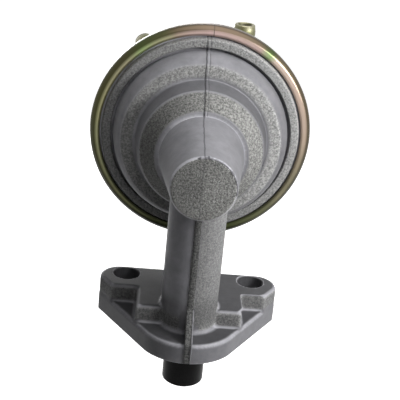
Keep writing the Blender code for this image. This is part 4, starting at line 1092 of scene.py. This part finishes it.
def sand_zones(item, edge_highlight_gain):
    """Store how sandy each vertex of the item is, and its painted light and shade; sharp edges get a
    painted highlight.
    """
    mesh = item.data
    co, normal = vectors(mesh.vertices, "co"), vectors(mesh.vertices, "normal")
    x, y, z = co.T
    up = normal[:, 2]
    along = y - PLUNGER_Y
    radius = np.hypot(x, z - AXIS_HEIGHT)
    # Sharp bends, where edges get a painted highlight.
    edges = sharp_bends(mesh, co, normal)

    end_disc = within(along, -1, -NECK_REACH + 0.7 * MM) * within(radius, -1, 10.1 * MM)
    cone = within(radius, CONE_FOOT_RADIUS + 0.3 * MM, CONE_EDGE_RADIUS - 0.4 * MM)
    cone *= within(along, NECK_ROOT - 0.5 * MM, CONE_END)
    wall = within(radius, CONE_EDGE_RADIUS - 0.2 * MM, BAND_INNER_RADIUS + 0.5 * MM)
    wall *= within(along, CONE_END - 0.2 * MM, BAND_START - 0.3 * MM)
    band = within(radius, BAND_INNER_RADIUS + 0.4 * MM, BAND_OUTER_RADIUS + 1.2 * MM, 1.2 * MM)
    band *= within(along, BAND_START - 0.3 * MM, BAND_START + 2.3 * MM)
    ring = within(radius, RING_INNER_RADIUS - 0.2 * MM, RING_OUTER_RADIUS + 0.8 * MM)
    ring *= within(along, RING_FACE - 0.3 * MM, RING_FACE + 2.3 * MM)
    pocket = within(z, PLATE_THICKNESS + 0.6 * MM, LAND_HEIGHT - 0.3 * MM, 0.5 * MM)
    pocket *= np.clip((0.5 - np.abs(up)) / 0.2, 0, 1) * within(along, -9 * MM, 40 * MM)
    tube = within(z, PLATE_THICKNESS + 2 * MM, AXIS_HEIGHT - 2 * MM, 2 * MM)
    tube *= within(np.hypot(x, along), TUBE_RADIUS - 1.5 * MM, TUBE_RADIUS + 0.3 * MM)
    tube *= np.clip(x / (2 * MM), 0, 1)
    sand = np.maximum.reduce([end_disc, cone, band * 0.75, ring * 0.7, pocket * 0.6, tube * 0.55])

    # Painted shade: darker towards the bottom of the flange, on its upward faces, on its left side and
    # inside the bolt holes.
    low = np.clip((20 * MM - z) / (4 * MM), 0, 1)
    tops = low * np.clip((up - 0.8) / 0.15, 0, 1)
    left = low * np.clip(-x / (14 * MM), 0, 1)
    bolt = np.hypot(np.abs(x) - BOLT_SPACING / 2, y)
    hole = (bolt < BOLT_HOLE_RADIUS + 0.2 * MM) & (z < LAND_HEIGHT - 0.2 * MM)
    # Painted light and shade: a painted highlight on sharp edges, painted shade on the end disc, cone,
    # step wall, tube and the zones above, and a painted lift on the band.
    painted_light = 1 + edge_highlight_gain * edges * (1 - 0.7 * sand)
    for gain, zone in (
        (-0.33, end_disc), (-0.36, cone), (-0.45, wall), (0.15, band), (-0.2, tube), (-0.25, low),
        (-0.62, tops * (1 - edges)), (-0.4, left), (-0.65, hole),
    ):
        painted_light *= 1 + gain * zone
    # Painted light by side on the upper parts: sandy surfaces lighter on the right, smooth surfaces
    # lighter on the left.
    side = x / np.maximum(radius, 1 * MM)
    side *= within(along, -40 * MM, 40 * MM) * within(z, 24 * MM, 200 * MM)
    painted_light *= np.where(sand > 0.3, 0.9 + 0.25 * side, 1.0 - 0.3 * side)
    for name, values in (("sand", sand), ("painted_light", painted_light)):
        layer = mesh.attributes.new(name, "FLOAT", "POINT")
        layer.data.foreach_set("value", values.astype(np.float32))
    return item


# Stage

def make_camera():
    """A camera where the photographer's was."""
    tilt, turn, roll = (math.radians(angle) for angle in (CAMERA_TILT, CAMERA_TURN, CAMERA_ROLL))
    back = Vector((math.sin(turn) * math.cos(tilt), -math.cos(turn) * math.cos(tilt), math.sin(tilt)))
    right = Vector((math.cos(turn), math.sin(turn), 0.0))
    up = back.cross(right)
    side = right * math.cos(roll) + up * math.sin(roll)
    top = up * math.cos(roll) - right * math.sin(roll)
    camera = bpy.data.cameras.new("camera")
    camera.sensor_width = SENSOR_WIDTH
    camera.lens = FOCAL_PIXELS / FRAME_PIXELS * SENSOR_WIDTH
    camera.clip_start = 0.01
    item = placed("camera", camera)
    turned = Matrix((side, top, back)).transposed().to_4x4()
    item.matrix_world = Matrix.Translation(Vector(CAMERA_TARGET) + back * CAMERA_DISTANCE) @ turned
    bpy.context.scene.camera = item


def split_rays(tree, output, plain, seen):
    """Show one shader to the camera, in gloss and through glass, and the plain one to the rest."""
    path = tree.nodes.new("ShaderNodeLightPath")
    total = path.outputs["Is Camera Ray"]
    for name in ("Is Glossy Ray", "Is Transmission Ray"):
        node = tree.nodes.new("ShaderNodeMath")
        node.operation = "MAXIMUM"
        tree.links.new(total, node.inputs[0])
        tree.links.new(path.outputs[name], node.inputs[1])
        total = node.outputs[0]
    mix = tree.nodes.new("ShaderNodeMixShader")
    for source, socket in zip((total, plain.outputs[0], seen.outputs[0]), mix.inputs):
        tree.links.new(source, socket)
    tree.links.new(mix.outputs[0], tree.nodes[output].inputs[0])


def make_world():
    """White surroundings that give almost no light."""
    world = bpy.data.worlds.new("studio")
    bpy.context.scene.world = world
    world.use_nodes = True
    white = world.node_tree.nodes["Background"]
    white.inputs["Color"].default_value = (1.0, 1.0, 1.0, 1.0)
    dim = world.node_tree.nodes.new("ShaderNodeBackground")
    dim.inputs["Color"].default_value = (0.9, 0.95, 1.0, 1.0)
    dim.inputs["Strength"].default_value = 0.02
    split_rays(world.node_tree, "World Output", dim, white)


def make_floor():
    """A pale floor well under the pump, less bright where the shadow falls."""
    bm = bmesh.new()
    bmesh.ops.create_grid(bm, x_segments=1, y_segments=1, size=3.0)
    floor = mesh_of(bm, "floor", Matrix.Translation((0, 0, FLOOR)))
    paper = Finish("paper")
    paper.set(Base_Color=(0.8, 0.8, 0.8), Roughness=0.9)
    reach = paper.vector("DISTANCE", paper.place, (0.0, 0.0, FLOOR))
    near, far = SHADOW_REACH * 0.4, SHADOW_REACH
    glow = paper.add("ShaderNodeEmission")
    strength = paper.mapped(reach, From_Min=near, From_Max=far, To_Min=SHADOW_GLOW)
    paper.feed(glow.inputs["Strength"], strength)
    lit = paper.add("ShaderNodeAddShader")
    paper.feed(lit.inputs[0], paper.shader.outputs[0])
    paper.feed(lit.inputs[1], glow.outputs[0])
    split_rays(paper.tree, "Material Output", paper.shader, lit)
    paint(floor, paper.material)


def make_card():
    """The dark card, unseen by the camera and in gloss."""
    bm = bmesh.new()
    bm.faces.new([bm.verts.new((CARD_X, y, z)) for y, z in CARD_CORNERS])
    card = mesh_of(bm, "dark_card")
    felt = Finish("felt")
    felt.set(Base_Color=(0.01, 0.01, 0.01), Roughness=1.0)
    paint(card, felt.material)
    card.visible_camera = False
    card.visible_glossy = False


def make_lamps():
    """Square soft lights that point at the middle of the object."""
    for name, way, distance, size, power in LAMPS:
        light = bpy.data.lights.new(name, "AREA")
        light.size = size
        light.energy = power
        item = placed(name, light)
        way = Vector(way).normalized()
        item.location = Vector((0, 0, AXIS_HEIGHT)) + way * distance
        item.rotation_euler = way.to_track_quat("Z", "Y").to_euler()


def make_pieces(finishes):
    """The fine pieces, each in place of a node of the frame."""
    cast = finishes["casting"]
    dress(sand_zones(make_casting(), 1.1), cast, "housing", "body")
    dress(make_mould_line(), mould_line_finish(), "housing", "body")
    dress(sand_zones(make_flash(), 0.1), cast, "housing", "body")
    dress(make_cover(), finishes["zinc_steel"], "housing", "cover")
    olive = pipe_finish()
    for name, route in zip(("inlet", "outlet"), pipe_routes()):
        dress(make_pipe(name, route), olive, "housing", name + "_pipe")
    dress(make_plunger(), finishes["dark_steel"], "plunger", "plunger")
    dress(make_guide(), finishes["bronze"], "housing", "guide_bush")
    dress(make_pin(), finishes["plain_steel"], "housing", "crank_pin")
    make_springs(finishes["plain_steel"])


def main():
    """Dress the frame."""
    bpy.context.scene.view_settings.view_transform = "Standard"
    make_camera()
    make_world()
    make_floor()
    make_card()
    make_lamps()
    finishes = slot_finishes()
    for part in frame["record"]["subparts"]:
        paint(frame["nodes"][part["node"]], finishes[part["material_slot"]])
    make_pieces(finishes)


main()
